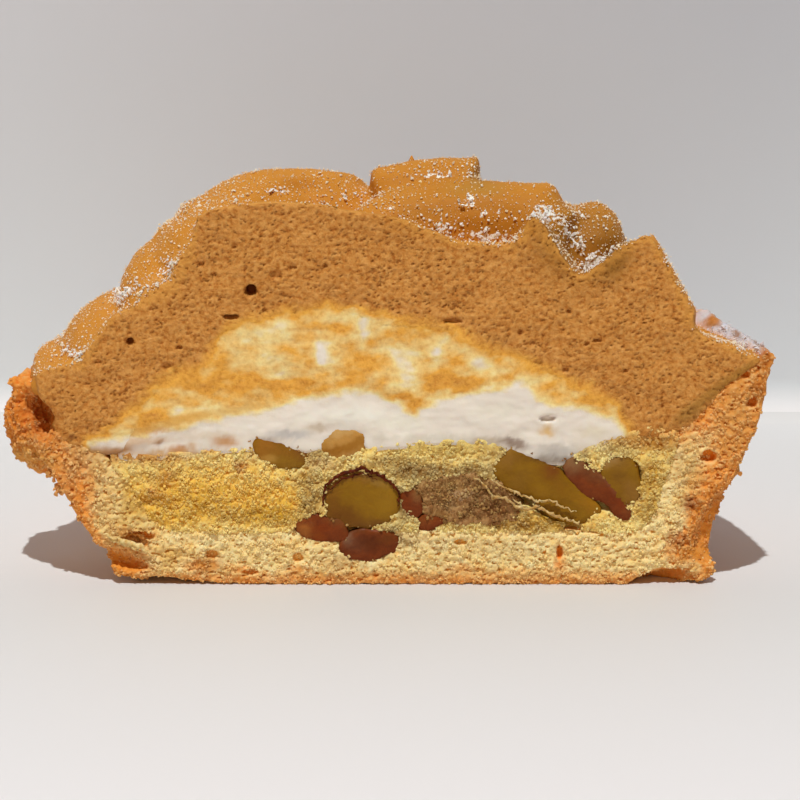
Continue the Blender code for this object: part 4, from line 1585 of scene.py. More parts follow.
@dataclass
class Sugar:
    """Powdered sugar: drifts in the grooves and on the rim, and single grains between them.

    Fields:
        surfaces: the cream, and then the crust.
        count: how many grains there are.
        moist: the colour of grains that the cream has wetted.
        dry: the colour of those on the rim.
        drifts: where it lies thickly, as seen from the front; a strength below 0 keeps it off.
    """

    surfaces: tuple[Piece, ...]
    count: int = 23000
    moist: str = "f0cf9a"
    dry: str = "d6cdd6"
    drifts: tuple[Blob, ...] = (
        (-21.6, 33.9, 1.0, 0.9, 1.6), (-22.6, 32.9, 0.9, 0.7, 1.4), (-20.8, 32.0, 0.5, 0.6, 1.4),
        (-24.2, 32.1, 1.4, 0.7, 1.8), (-26.4, 31.2, 1.2, 0.6, 2.0), (-27.2, 30.4, 0.6, 0.7, 1.2),
        (-31.8, 25.0, 1.5, 0.7, 1.7), (-33.4, 26.2, 0.8, 0.5, 0.6), (-4.2, 41.4, 2.0, 0.3, 0.6),
        (10.6, 37.1, 2.4, 0.5, 3.0), (7.0, 37.9, 1.8, 0.5, 1.6), (4.0, 39.2, 1.6, 0.5, 0.8),
        (7.4, 39.1, 1.2, 0.25, 1.6), (10.3, 39.4, 0.35, 0.3, 3.0), (11.8, 39.7, 0.3, 0.3, 3.0),
        (13.4, 39.3, 0.3, 0.6, 2.0), (5.8, 38.3, 0.9, 0.4, 2.0), (16.3, 39.7, 0.9, 0.8, 3.0),
        (17.6, 38.9, 0.9, 0.7, 1.8), (18.7, 37.6, 0.8, 0.8, 1.6), (19.8, 36.2, 0.8, 0.8, 1.8),
        (21.4, 34.5, 1.2, 0.9, 3.4), (23.6, 35.6, 1.4, 0.5, 1.8), (29.2, 36.0, 0.8, 1.4, 2.4),
        (30.6, 33.2, 0.7, 1.2, 1.4), (33.6, 28.4, 1.0, 1.0, 2.6), (35.4, 27.3, 1.4, 0.8, 3.6),
        (37.4, 26.0, 1.3, 0.7, 3.0), (-7.0, 42.9, 1.4, 0.5, 0.6), (8.5, 40.7, 0.7, 0.45, 2.6),
        (9.3, 41.3, 0.4, 0.4, 2.0), (-11.2, 41.6, 3.4, 0.25, 0.4), (20.5, 38.4, 2.4, 2.2, 0.8),
        (33.8, 28.5, 1.1, 0.65, -14.0), (36.4, 27.0, 0.6, 0.35, -9.0), (38.2, 26.3, 0.6, 0.2, -6.0),
        (-14.0, 40.9, 4.5, 0.5, 0.45), (-16.8, 38.6, 2.0, 1.2, 0.5), (-22.3, 38.7, 1.2, 1.0, 0.45),
        (-20.8, 39.9, 1.4, 1.2, 0.5), (-18.9, 41.1, 1.4, 0.9, 0.5), (-16.3, 42.1, 1.6, 0.7, 0.45),
        (-13.7, 43.4, 1.6, 0.7, 0.35), (-10.5, 41.9, 1.7, 0.22, 1.8), (-3.0, 41.2, 2.2, 0.5, 0.7),
        (-2.0, 40.8, 2.4, 0.8, 0.5), (0.8, 39.9, 0.7, 0.4, 1.6), (9.5, 39.4, 4.0, 0.9, 0.28),
        (4.5, 44.0, 4.0, 0.8, 0.3), (6.6, 44.1, 1.8, 1.1, 0.4), (8.8, 43.8, 0.7, 1.2, 0.9),
        (5.2, 43.4, 2.8, 0.22, 1.8),
    )

    def weigh(self, surface: Piece, cream: bool) -> tuple[Skin, np.ndarray, np.ndarray]:
        """Says where sugar lies on one surface.

        Args:
            surface: the piece.
            cream: whether it is the cream; only drifts lie on the crust.

        Returns:
            The surface as arrays, each place's weight, and how deep the drift is there.
        """
        skin = Skin.of(surface)
        upward = ease(skin.normals[:, 2], 0.05, 0.7)
        u, v = seen_from_front(skin.points)
        to_eye = EYE - skin.points
        to_eye /= np.linalg.norm(to_eye, axis=1)[:, None]
        faced = ease((to_eye * skin.normals).sum(1), -0.15, 0.15) * ease(skin.points[:, 1], 8.0, 0.0)
        ragged_u = u + 0.45 * cloud(skin.points, 0.9, 105, 2)
        ragged_v = v + 0.35 * cloud(skin.points, 0.8, 106, 2)
        broken_up = 0.4 + 0.8 * ease(cloud(skin.points, 0.7, 107, 2), -0.4, 0.5)
        drift = spots(ragged_u, ragged_v, self.drifts) * faced * broken_up
        if not cream:
            open_air = (1.0 - skin.cut) * (skin.z > 23.5) * (skin.normals[:, 2] > -0.2)
            return skin, open_air * (upward + 0.5) * drift, drift * open_air
        flatter = even_out(surface, skin.points, 24)
        groove = np.clip(((flatter - skin.points) * skin.normals).sum(1) / 0.25, 0.0, 1.0)
        roof = np.interp(skin.x, *zip(*PipedCream.outline))
        open_air = (1.0 - skin.cut) * (skin.z > 21.0) * ((skin.points[:, 1] > CUT + 2.2) | (skin.z > roof - 0.5))
        patchy = ease(cloud(skin.points, 3.4, 101, 3), -0.2, 0.9)
        thin = (upward + 0.15) * (0.02 + 0.06 * patchy + 0.12 * groove * patchy)
        dust = (np.clip(0.42 * drift, 0.0, 0.62) + 0.05 * patchy * upward) * open_air
        surface.data.attributes[Mask.DUST.value].data.foreach_set("value", dust.astype(np.float32))
        return skin, open_air * (thin + (upward + 0.5) * drift), drift * open_air

    def build(self) -> Piece:
        """Chooses places on the cream and on the rim and lays the grains.

        Returns:
            The grains as one piece.
        """
        weighed = [self.weigh(surface, cream=index == 0) for index, surface in enumerate(self.surfaces)]
        points = np.concatenate([skin.points for skin, _, _ in weighed])
        normals = np.concatenate([skin.normals for skin, _, _ in weighed])
        weights = np.concatenate([weight for _, weight, _ in weighed])
        drift = np.concatenate([deep for _, _, deep in weighed])
        rim = np.concatenate([np.full(len(weight), index > 0) for index, (_, weight, _) in enumerate(weighed)])
        chosen = pick(weights, self.count, 102)
        rng = np.random.default_rng(103)
        heaped = np.clip(drift[chosen], 0.0, 1.5)
        size = (0.04 + 0.12 * rng.random(len(chosen)) ** 2.2) * (0.9 + 0.6 * np.minimum(heaped, 1.0))
        size *= 1.0 + 1.0 * (rng.random(len(chosen)) > 0.95) * np.minimum(heaped, 1.0)
        sizes = size[:, None] * rng.uniform(0.45, 1.5, (len(chosen), 3))
        lift = 0.02 + 0.26 * heaped * rng.random(len(chosen)) ** 1.5
        middles = points[chosen] + rng.uniform(-0.15, 0.15, (len(chosen), 3)) + normals[chosen] * lift[:, None]
        moist, dry = np.array(linear(self.moist)[:3]), np.array(linear(self.dry)[:3])
        cover = (0.25 + 0.6 * rng.random(len(chosen))) * ease(heaped, 1.0, 0.3)
        cover = np.where(rim[chosen], 0.75, cover)
        tint = np.c_[np.where(rim[chosen, None], dry, moist), cover]
        grains = Scatter("powdered_sugar", SUGAR, "chestnut_cream", 104, rough=0.4, faces=8)
        return grains.strew(middles, sizes, tint=tint)


# ---------------------------------------------------------------- set, light and camera


@dataclass(frozen=True)
class Lamp:
    """A square soft light, turned to the tart. Its place and its size are in metres, its power in watts."""

    name: str
    place: tuple[float, float, float]
    size: float
    power: float
    colour: str

    def build(self) -> None:
        """Hangs the light."""
        data = bpy.data.lights.new(self.name, "AREA")
        data.size, data.energy, data.color = self.size, self.power, linear(self.colour)[:3]
        lamp = bpy.data.objects.new(self.name, data)
        bpy.context.scene.collection.objects.link(lamp)
        lamp.location = self.place
        lamp.rotation_euler = (LIT_SPOT - Vector(self.place)).to_track_quat("-Z", "Y").to_euler()


@dataclass
class Studio:
    """The pale table, the backdrop, the lights and the camera."""

    back: float = 52.0  # how far back the wall stands
    bend: float = 5.0  # the radius in which the table turns up into it
    wide: float = 1.6  # the table each way, in metres
    tall: float = 0.8  # the wall, in metres
    lamps: tuple[Lamp, ...] = (
        Lamp("ceiling", (-0.20, -2.00, 4.66), 0.09, 219.0, "f7fffd"),
        Lamp("window", (-0.14, -0.81, 0.22), 0.5, 0.92, "ffeabc"),
    )
    room: str = "ffc888"
    glow: float = 0.055  # the strength of the light all round
    lens: float = 130.8  # focal length, on film of the width below
    film: float = 36.0

    def build(self) -> None:
        """Builds all of it."""
        self.table()
        for lamp in self.lamps:
            lamp.build()
        self.world()
        self.camera()

    def table(self) -> None:
        """The table runs to the back, where it turns up in a tight bend."""
        for other in bpy.context.selected_objects:
            other.select_set(False)
        edge, near = self.back * MM, 1e-4
        bpy.ops.mesh.primitive_plane_add(size=self.wide, location=(0.0, edge - self.wide / 2.0, 0.0))
        table = bpy.context.object
        table.name = "table"
        alone(table)
        bpy.ops.object.transform_apply(location=True, rotation=True, scale=True)
        self.choose_edges(table, lambda a, b: min(a.y, b.y) > edge - near)
        bpy.ops.mesh.extrude_region_move(TRANSFORM_OT_translate={"value": (0.0, 0.0, self.tall)})
        bpy.ops.object.mode_set(mode="OBJECT")
        self.choose_edges(table, lambda a, b: min(a.y, b.y) > edge - near and max(a.z, b.z) < near)
        bpy.ops.mesh.bevel(offset=self.bend * MM, segments=12, affect="EDGES")
        bpy.ops.object.mode_set(mode="OBJECT")
        bpy.ops.object.shade_smooth()
        dress(table, BACKDROP)

    def choose_edges(self, piece: Piece, wanted: Callable[[Vector, Vector], bool]) -> None:
        """Selects edges by the places of their ends and leaves the piece in edit mode.

        Args:
            piece: the object.
            wanted: says whether an edge is chosen.
        """
        alone(piece)
        bpy.ops.object.mode_set(mode="EDIT")
        bpy.ops.mesh.select_mode(type="EDGE")
        bpy.ops.mesh.select_all(action="DESELECT")
        bpy.ops.object.mode_set(mode="OBJECT")
        for edge in piece.data.edges:
            a, b = (piece.data.vertices[i].co for i in edge.vertices)
            edge.select = wanted(a, b)
        bpy.ops.object.mode_set(mode="EDIT")

    def world(self) -> None:
        """A dim warm room all round."""
        world = bpy.data.worlds.new("room")
        world.use_nodes = True
        inputs = world.node_tree.nodes["Background"].inputs
        inputs[0].default_value, inputs[1].default_value = linear(self.room), self.glow
        bpy.context.scene.world = world

    def camera(self) -> None:
        """A long lens, a little above the table."""
        data = bpy.data.cameras.new("camera")
        data.lens, data.sensor_width, data.clip_start = self.lens, self.film, 0.01
        eye = bpy.data.objects.new("camera", data)
        bpy.context.scene.collection.objects.link(eye)
        eye.location = Vector(EYE * MM)
        eye.rotation_euler = Vector((AIM - EYE) * MM).to_track_quat("-Z", "Y").to_euler()
        bpy.context.scene.camera = eye
        bpy.context.scene.view_settings.view_transform = "Standard"


@dataclass
class Strand:
    """Thin torn things on the cut face: a nut's skin, a film of syrup, a flake of crust.

    Fields:
        name: the piece's name.
        finish: what it is made of.
        slot: not used.
        seed: for all its random numbers.
        lines: for each strand, its half thickness and the x and z of its bends.
        stand: how far its middle stands out of the cut.
        step: how far apart its rings are.
        wander: how unevenly it runs over the cut.
        flutter: how unevenly it stands out.
    """

    name: str
    finish: Finish
    slot: str
    seed: int
    lines: tuple[tuple[float, tuple[tuple[float, float], ...]], ...]
    stand: float = 0.12
    step: float = 0.18
    wander: float = 0.07
    flutter: float = 0.06

    def build(self) -> Piece:
        """Draws each strand as a round thread, then crumples it.

        Returns:
            The strands as one piece.
        """
        rng = np.random.default_rng(self.seed)
        made = []
        for thick, bends in self.lines:
            bends_x, bends_z = np.array(bends).T
            along = np.r_[0.0, np.cumsum(np.hypot(np.diff(bends_x), np.diff(bends_z)))]
            steps = np.linspace(0.0, along[-1], max(4, int(along[-1] / self.step)))
            line = np.stack(
                (
                    np.interp(steps, along, bends_x) + rng.normal(0.0, self.wander, len(steps)),
                    np.full(len(steps), CUT - self.stand) + rng.normal(0.0, self.flutter, len(steps)),
                    np.interp(steps, along, bends_z) + rng.normal(0.0, self.wander, len(steps)),
                ),
                axis=1,
            )
            curve = bpy.data.curves.new(self.name, "CURVE")
            curve.dimensions, curve.bevel_depth = "3D", thick * MM
            curve.bevel_resolution, curve.use_fill_caps = 2, True
            spline = curve.splines.new("POLY")
            spline.points.add(len(line) - 1)
            spline.points.foreach_set("co", np.c_[line * MM, np.ones(len(line))].ravel())
            taper = np.sin(np.linspace(0.12, 3.02, len(line))) ** 0.5 * rng.uniform(0.7, 1.3, len(line))
            spline.points.foreach_set("radius", taper)
            thread = bpy.data.objects.new(self.name, curve)
            bpy.context.scene.collection.objects.link(thread)
            alone(thread)
            bpy.ops.object.convert(target="MESH")
            made.append(bpy.context.object)
        for other in made:
            other.select_set(True)
        bpy.context.view_layer.objects.active = made[0]
        if len(made) > 1:
            bpy.ops.object.join()
        piece = bpy.context.object
        piece.name = self.name
        points = places(piece)
        points += directions(piece) * (0.07 * cloud(points, 0.5, self.seed, 2))[:, None]
        move_to(piece, points)
        dress(piece, self.finish)
        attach(piece, "root")
        LOG.info("%s: %d faces", self.name, len(piece.data.polygons))
        return piece


class Kind(Enum):
    """What a lump in the sponge is: finish, slot, how much mash clings to it, how torn, how smoothed it is."""

    NUT = (CHESTNUT, "chestnut", 0.8, 0.0, 5)
    PALE_NUT = (PALE_CHESTNUT, "chestnut", 0.15, 0.0, 14)
    RED_BEAN = (BEAN, "bean", 0.4, 0.3, 5)
    MASH = (PASTE, "bean_paste", 1.0, 1.0, 5)


@dataclass(frozen=True)
class Morsel:
    """One nut, bean or lump of paste, with the strokes of its colour and how it is pulled into shape."""

    node: str
    kind: Kind
    tints: tuple[Tint, ...]
    pulls: tuple[Pull, ...] = ()


@dataclass
class Filling:
    """The nuts, the beans and the paste, the mashed grains between them, and the torn strands round them."""

    morsels: tuple[Morsel, ...]
    strands: tuple[Strand, ...]
    grains: int = 1000
    shades: tuple[str, ...] = ("8a5c34", "b08450", "7a5028", "d0aa6c", "c09458")

    def build(self) -> None:
        """Builds each lump, the mashed grains where they meet, and the strands."""
        built = []
        for morsel in self.morsels:
            finish, slot, cling, torn, soften = morsel.kind.value
            lump = Lump(
                morsel.node, finish, slot, soften=soften, torn=torn, pulls=morsel.pulls, tints=morsel.tints
            )
            built.append((lump.build(), cling))
        self.mash(built)
        for strand in self.strands:
            strand.build()

    def mash(self, lumps: list[tuple[Piece, float]]) -> None:
        """Lays mashed grains over the edges of beans and paste, and sparsely over the nuts'.

        Args:
            lumps: each piece and how much of the mash clings to it.
        """
        points, colours, weights = [], [], []
        for piece, cling in lumps:
            skin = Skin.of(piece)
            rim = read_mask(piece, Mask.STAIN)
            points.append(skin.points)
            colours.append(read_tint(piece))
            everywhere = 0.01 * (cling == 1.0)  # the paste alone has grains away from its edge
            patchy = ease(cloud(skin.points, 1.6, 151, 2), -0.4, 0.6)
            weights.append(cling * skin.cut * (everywhere + ease(rim, 0.1, 0.5)) * patchy)
        places_on, tint = np.concatenate(points), np.concatenate(colours)
        chosen = pick(np.concatenate(weights), self.grains, 152)
        rng = np.random.default_rng(153)
        size = 0.06 + 0.14 * rng.random(len(chosen)) ** 2.0
        sizes = size[:, None] * rng.uniform(0.6, 1.4, (len(chosen), 3))
        middles = places_on[chosen] + rng.normal(0.0, 0.22, (len(chosen), 3)) * (1.0, 0.2, 1.0) - (0.0, 0.06, 0.0)
        shades = np.array([linear(code)[:3] for code in self.shades])
        picked = shades[rng.integers(0, len(shades), len(chosen))]
        mixed = np.c_[0.6 * picked + 0.4 * tint[chosen][:, :3], np.full(len(chosen), 0.85)]
        Scatter("mashed_grains", PASTE, "bean_paste", 154).strew(middles, sizes, None, mixed)


@dataclass
class CreamTip:
    """The small point that the piping nozzle left on the topmost ribbon of the chestnut cream."""

    cream: Piece
    across: float = 2.9  # where it stands, as seen from the front
    wide: float = 0.5  # half its width at the foot
    sharp: float = 0.06  # and at the top
    tall: float = 0.9
    lift: float = 0.12  # how far its middle stands above the ribbon

    def build(self) -> None:
        """Finds the top of the ribbon there and sets the point on it."""
        points = places(self.cream)
        u, v = seen_from_front(points)
        spot = points[np.argmax(v - 4.0 * np.abs(u - self.across))]
        bpy.ops.mesh.primitive_cone_add(
            vertices=12, radius1=self.wide * MM, radius2=self.sharp * MM, depth=self.tall * MM
        )
        tip = bpy.context.object
        tip.name = "cream_tip"
        move_to(tip, places(tip) + spot + (0.0, 0.0, self.lift))
        bpy.ops.object.shade_smooth()
        count = len(tip.data.vertices)
        paint(tip, Mask.MARBLING, np.ones(count))
        paint_colour(tip, np.zeros((count, 3)), np.zeros(count))
        dress(tip, CHESTNUT_CREAM)
        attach(tip, "root")
        LOG.info("%s: %d faces", tip.name, len(tip.data.polygons))


# ---------------------------------------------------------------- where things lie on this tart


MORSELS: tuple[Morsel, ...] = (
    Morsel(
        "chestnut_centre", Kind.NUT,
        tints=(
            (-1.0, 8.9, 3.2, 3.0, 0, "946916", 0.75), (0.4, 9.6, 1.2, 2.4, 0, "a0741c", 0.6),
            (-2.6, 11.8, 3.6, 0.6, 0, "8a5a24", 0.6), (-5.4, 9.4, 0.9, 2.6, 0, "7c4d16", 0.7),
            (-3.9, 7.4, 2.2, 1.2, -20, "6b3a14", 0.7), (-1.0, 6.5, 3.0, 0.7, 0, "74481c", 0.7),
            (-0.9, 11.3, 1.6, 0.4, -25, "a07a3c", 0.5),
        ),
    ),
    Morsel(
        "chestnut_left", Kind.NUT,
        tints=(
            (-12.2, 14.8, 1.4, 2.0, 0, "a86c24", 0.9), (-10.6, 14.4, 2.0, 0.7, -10, "94601a", 0.8),
            (-9.6, 13.2, 2.6, 0.8, -15, "94681c", 0.8), (-9.6, 15.4, 2.4, 0.4, -8, "6e3d14", 0.7),
            (-8.4, 14.4, 1.2, 0.7, -30, "7d4a22", 0.8), (-12.0, 13.6, 1.0, 0.5, 0, "c29345", 0.7),
        ),
    ),
    Morsel(
        "chestnut_top", Kind.PALE_NUT,
        tints=(
            (-4.6, 16.5, 1.9, 0.55, 18, "d3a566", 0.9), (-3.0, 15.2, 2.6, 0.5, 18, "aa7024", 0.85),
            (-5.2, 14.6, 1.6, 0.6, 10, "9f661c", 0.9), (-1.9, 15.9, 0.6, 0.5, 0, "a8722c", 0.7),
            (-3.6, 15.9, 2.0, 0.25, 22, "c8924a", 0.7), (-2.4, 14.1, 2.4, 0.35, 15, "caa068", 0.6),
            (-5.6, 16.0, 0.5, 0.9, 0, "bd8a48", 0.6),
        ),
        pulls=((-6.3, 17.2, 1.0, 0.8, 0.0, -0.4), (-2.4, 17.0, 1.0, 1.0, 0.0, -0.2)),
    ),
    Morsel(
        "chestnut_right", Kind.NUT,
        tints=(
            (13.0, 14.0, 1.0, 1.6, -30, "976a2c", 0.7), (14.4, 14.3, 0.9, 1.2, 0, "7c5216", 0.6),
            (17.6, 11.4, 3.0, 0.8, -42, "8c5c12", 0.6), (13.8, 11.0, 1.0, 2.0, -35, "8a601c", 0.7),
            (17.6, 12.5, 0.9, 1.0, -50, "7c4019", 0.75), (16.4, 13.6, 1.6, 0.4, -10, "5c3a1c", 0.8),
            (19.6, 13.2, 1.0, 0.8, 0, "7c5434", 0.8), (21.6, 8.7, 1.8, 0.8, -35, "a06c18", 0.8),
            (17.0, 9.6, 1.4, 0.7, -30, "95681a", 0.6),
        ),
        pulls=((15.5, 8.2, 3.2, 1.8, 0.2, 1.3), (21.0, 6.9, 2.0, 1.4, 0.9, 0.9), (21.0, 10.2, 2.0, 2.0, 0.5, 0.4)),
    ),
    Morsel(
        "chestnut_edge", Kind.NUT,
        tints=(
            (23.4, 13.8, 1.6, 1.0, 0, "a8804e", 0.8), (24.4, 11.6, 1.2, 1.2, -40, "7f541a", 0.7),
            (25.8, 10.2, 1.0, 1.2, 0, "94662c", 0.7), (25.0, 13.6, 0.9, 1.0, 0, "8d6226", 0.6),
            (26.4, 9.0, 0.6, 0.9, 0, "a87a3a", 0.6),
        ),
        pulls=((24.6, 9.9, 2.4, 1.5, -0.1, -1.6), (27.0, 12.2, 1.0, 2.5, -0.7, 0.0)),
    ),
    Morsel(
        "bean_right", Kind.RED_BEAN,
        tints=(
            (19.6, 13.6, 1.4, 1.4, 0, "8e6642", 0.9), (21.6, 12.3, 1.6, 0.9, -45, "794826", 0.7),
            (24.4, 9.4, 1.8, 0.9, -50, "7a3412", 0.7), (23.0, 11.3, 1.8, 0.25, -48, "8a583c", 0.5),
            (25.6, 8.0, 0.6, 0.6, 0, "8a4a22", 0.6),
        ),
        pulls=(
            (18.6, 13.8, 1.6, 1.8, 1.2, 0.5), (21.0, 10.2, 2.0, 2.0, 0.5, 0.4), (22.6, 8.2, 1.4, 1.2, 0.5, 0.5),
        ),
    ),
    Morsel(
        "bean_middle", Kind.RED_BEAN,
        tints=((2.4, 9.0, 0.7, 1.6, 0, "7a3510", 0.7), (3.6, 10.2, 0.7, 1.2, 0, "8f6438", 0.8)),
        pulls=((2.6, 9.3, 2.0, 2.5, -0.4, 0.0),),
    ),
    Morsel(
        "bean_lower", Kind.RED_BEAN,
        tints=(
            (-3.8, 5.0, 0.7, 0.8, 0, "82604a", 0.8), (-2.6, 4.4, 1.2, 0.9, 0, "73452e", 0.6),
            (-1.4, 4.6, 1.4, 0.9, 0, "5c2a10", 0.8), (0.4, 5.2, 1.0, 0.9, 0, "6c3a16", 0.7),
            (-3.0, 6.0, 1.6, 0.4, 0, "6a3a1c", 0.7),
        ),
    ),
    Morsel(
        "bean_lower_left", Kind.RED_BEAN,
        tints=(
            (-8.2, 5.9, 1.0, 0.9, 0, "a4622a", 0.8), (-6.6, 6.2, 1.2, 0.6, 10, "86390f", 0.7),
            (-4.6, 7.0, 1.4, 0.5, 0, "7a4a24", 0.8), (-6.8, 5.2, 1.0, 0.4, 0, "8e4312", 0.7),
            (-3.4, 6.6, 1.0, 0.8, 0, "754418", 0.7),
        ),
    ),
    Morsel(
        "bean_small", Kind.RED_BEAN,
        tints=((4.4, 7.0, 0.9, 0.6, 15, "88481c", 0.7),),
    ),
    Morsel(
        "bean_paste", Kind.MASH,
        tints=(
            (4.2, 10.8, 1.4, 1.2, 0, "a07544", 0.8), (5.6, 9.4, 1.6, 1.6, 0, "996b3c", 0.6),
            (7.0, 10.8, 1.4, 0.8, 0, "aa8450", 0.7), (9.2, 8.4, 1.2, 0.7, 0, "7e5530", 0.7),
            (10.2, 11.2, 1.4, 0.7, 0, "94703f", 0.6), (11.4, 8.2, 1.6, 0.8, -10, "79471f", 0.85),
            (6.8, 8.6, 1.0, 0.5, 0, "ae8a5e", 0.7), (11.6, 9.8, 1.4, 0.6, -20, "845a36", 0.7),
            (8.4, 9.9, 1.2, 0.25, 8, "c4a584", 0.7), (5.4, 7.6, 2.0, 0.5, 0, "8f6433", 0.7),
        ),
    ),
)
STRANDS: tuple[Strand, ...] = (
    Strand(
        "chestnut_skin_line", NUT_SKIN, "chestnut", 141,
        (
            (
                0.17,
                (
                    (-6.35, 8.6), (-6.25, 9.5), (-6.05, 10.9), (-4.5, 12.1), (-2.2, 12.75), (-0.3, 11.9),
                    (1.3, 10.6), (1.75, 9.7), (1.5, 8.6),
                ),
            ),
            (0.09, ((-5.9, 10.2), (-4.3, 11.6), (-2.2, 12.2), (-0.6, 11.4))),
        ),
    ),
    Strand(
        "torn_syrup_film", FILM, "almond_sponge", 142,
        (
            (
                0.17,
                (
                    (9.4, 11.9), (10.6, 10.9), (11.4, 9.5), (12.5, 9.7), (13.6, 8.7), (14.9, 8.4), (16.1, 8.6),
                    (17.7, 7.7), (19.0, 7.3), (20.4, 6.8),
                ),
            ),
            (
                0.12,
                (
                    (11.0, 11.5), (12.2, 10.9), (13.5, 10.3), (14.8, 9.7), (15.9, 9.2), (17.4, 9.3), (18.6, 8.6),
                    (20.0, 8.1),
                ),
            ),
            (0.10, ((15.9, 9.3), (15.5, 8.9), (16.1, 8.4))),
            (0.09, ((13.4, 9.5), (14.3, 8.9), (14.9, 8.5))),
        ),
        stand=0.35,
    ),
    Strand(
        "crust_flake", FLAKE, "crust", 143,
        (
            (0.30, ((-29.2, 5.6), (-28.2, 5.3), (-27.2, 4.8), (-26.2, 4.6), (-25.2, 4.0), (-24.1, 3.2))),
            (0.22, ((-28.6, 5.2), (-27.0, 4.5), (-25.6, 3.9))),
        ),
        stand=0.35,
    ),
)
CRUST_PULLS: tuple[Pull, ...] = (
    (-24.5, 0.4, 5.0, 2.2, 0.0, 0.9), (39.6, 24.4, 2.0, 3.4, 0.45, 0.1), (-37.2, 12.6, 1.2, 1.6, 0.2, -0.5),
    (-39.0, 21.4, 1.8, 1.8, -1.3, 0.6), (38.4, 17.6, 2.6, 5.0, 0.9, 0.0), (33.2, 1.8, 1.8, 1.8, 1.2, 0.0),
)
HANGING_CRUMBS: tuple[tuple[float, float, float], ...] = (
    (-33.8, 10.1, 0.55), (-31.6, 7.2, 0.5), (-34.6, 11.8, 0.5), (36.6, 12.2, 0.5), (33.1, 2.2, 0.7),
    (32.9, 1.2, 0.7), (-25.0, 0.9, 0.7), (-12.0, 0.6, 0.6), (-16.4, 0.5, 0.6),
)
CRUST_NUDGES: tuple[Pull, ...] = ((32.6, 28.8, 2.6, 2.0, 0.0, 0.9),)
CRUST_TINTS: tuple[Tint, ...] = (
    (-25.6, 9.6, 2.4, 3.8, 0, "e0b04a", 0.85), (33.2, 28.6, 1.7, 1.3, -20, "cfccd8", 1.0),
    (35.0, 27.7, 1.8, 1.2, -28, "cfccd8", 1.0), (36.8, 26.7, 1.8, 1.0, -30, "cfccd8", 1.0),
    (38.4, 25.8, 1.2, 0.7, -32, "d6ced2", 1.0), (33.8, 28.4, 1.2, 0.6, 35, "c07a36", 1.0),
    (33.8, 27.9, 0.9, 0.2, 10, "a86c34", 0.9), (36.4, 27.0, 0.6, 0.3, -30, "94602f", 0.9),
    (38.2, 26.3, 0.9, 0.15, -40, "8f7a6c", 0.8), (-39.2, 21.6, 2.6, 2.0, 25, "ee9a44", 0.85),
    (-37.4, 14.2, 1.8, 1.6, -20, "e2a85a", 0.85), (-35.2, 13.6, 1.4, 1.2, 0, "e0a456", 0.7),
    (-37.8, 18.6, 1.8, 1.6, 0, "cc7028", 0.7), (-35.4, 17.6, 1.1, 1.6, 0, "d07c38", 0.85),
    (-38.6, 16.0, 1.2, 1.2, 0, "dc9448", 0.8), (-30.8, 14.4, 2.6, 1.1, 0, "d09658", 0.85),
    (-31.8, 12.6, 1.8, 1.4, 0, "e0a666", 0.8), (-29.6, 12.6, 1.0, 1.2, 0, "d8a460", 0.6),
    (-29.2, 9.0, 1.4, 4.0, 0, "ecc07a", 0.6), (-32.8, 10.4, 0.8, 2.6, 0, "e29c58", 0.7),
    (-26.4, 5.4, 2.2, 0.6, -28, "c8822c", 0.8), (-27.5, 2.6, 2.8, 1.8, -35, "e8943a", 0.9),
    (-22.4, 3.2, 1.6, 1.4, 0, "e2ae54", 0.7), (-18.6, 2.4, 1.8, 1.0, 0, "cf8a3c", 0.7),
    # the first stroke on the next line is painted light: it brightens the low right wall, which faces away from the
    # lamps
    (34.2, 6.0, 2.0, 4.0, 0, "f0973a", 0.9), (32.4, 3.6, 2.2, 1.0, 0, "d98c38", 0.8),
    (34.8, 9.4, 1.2, 1.2, 0, "d07c30", 0.7), (31.4, 12.6, 1.6, 3.0, 0, "dfb066", 0.6),
    (37.6, 20.6, 1.6, 3.0, 0, "e09c52", 0.7), (38.6, 21.0, 0.8, 1.2, 0, "b4641c", 0.7),
    (36.2, 17.6, 2.2, 4.4, 0, "e0a25a", 0.7), (-38.6, 17.6, 1.6, 2.8, 0, "dc8430", 0.8),
    (-36.0, 18.0, 0.9, 2.4, 0, "c87430", 0.8), (-33.4, 16.8, 1.0, 1.6, 0, "c8803e", 0.7),
    (0.0, 1.2, 9.0, 0.5, 0, "d39a54", 0.5), (16.0, 1.2, 9.0, 0.8, 0, "f0bd78", 0.7),
    (-4.6, 2.4, 2.2, 0.7, 0, "d09848", 0.6), (2.4, 4.8, 1.2, 0.8, 0, "a88a58", 0.7),
    (5.6, 4.6, 3.0, 0.9, 0, "ecd8a8", 0.6), (12.0, 4.0, 4.0, 0.8, 0, "e4cf9c", 0.5),
    (30.4, 5.0, 1.0, 1.2, 0, "ce7e34", 0.7), (32.1, 8.9, 1.1, 0.8, 20, "ab5a24", 0.85),
    (30.9, 5.0, 1.1, 0.7, 15, "b8682e", 0.7), (39.2, 24.3, 1.2, 1.5, 0, "b56c2c", 0.85),
)
SPONGE_PULLS: tuple[Pull, ...] = (
    (28.5, 16.2, 3.0, 1.2, 0.0, 0.7), (-27.8, 14.0, 2.2, 1.0, 0.0, 0.7), (2.0, 8.0, 1.2, 1.6, 0.3, 0.0),
)
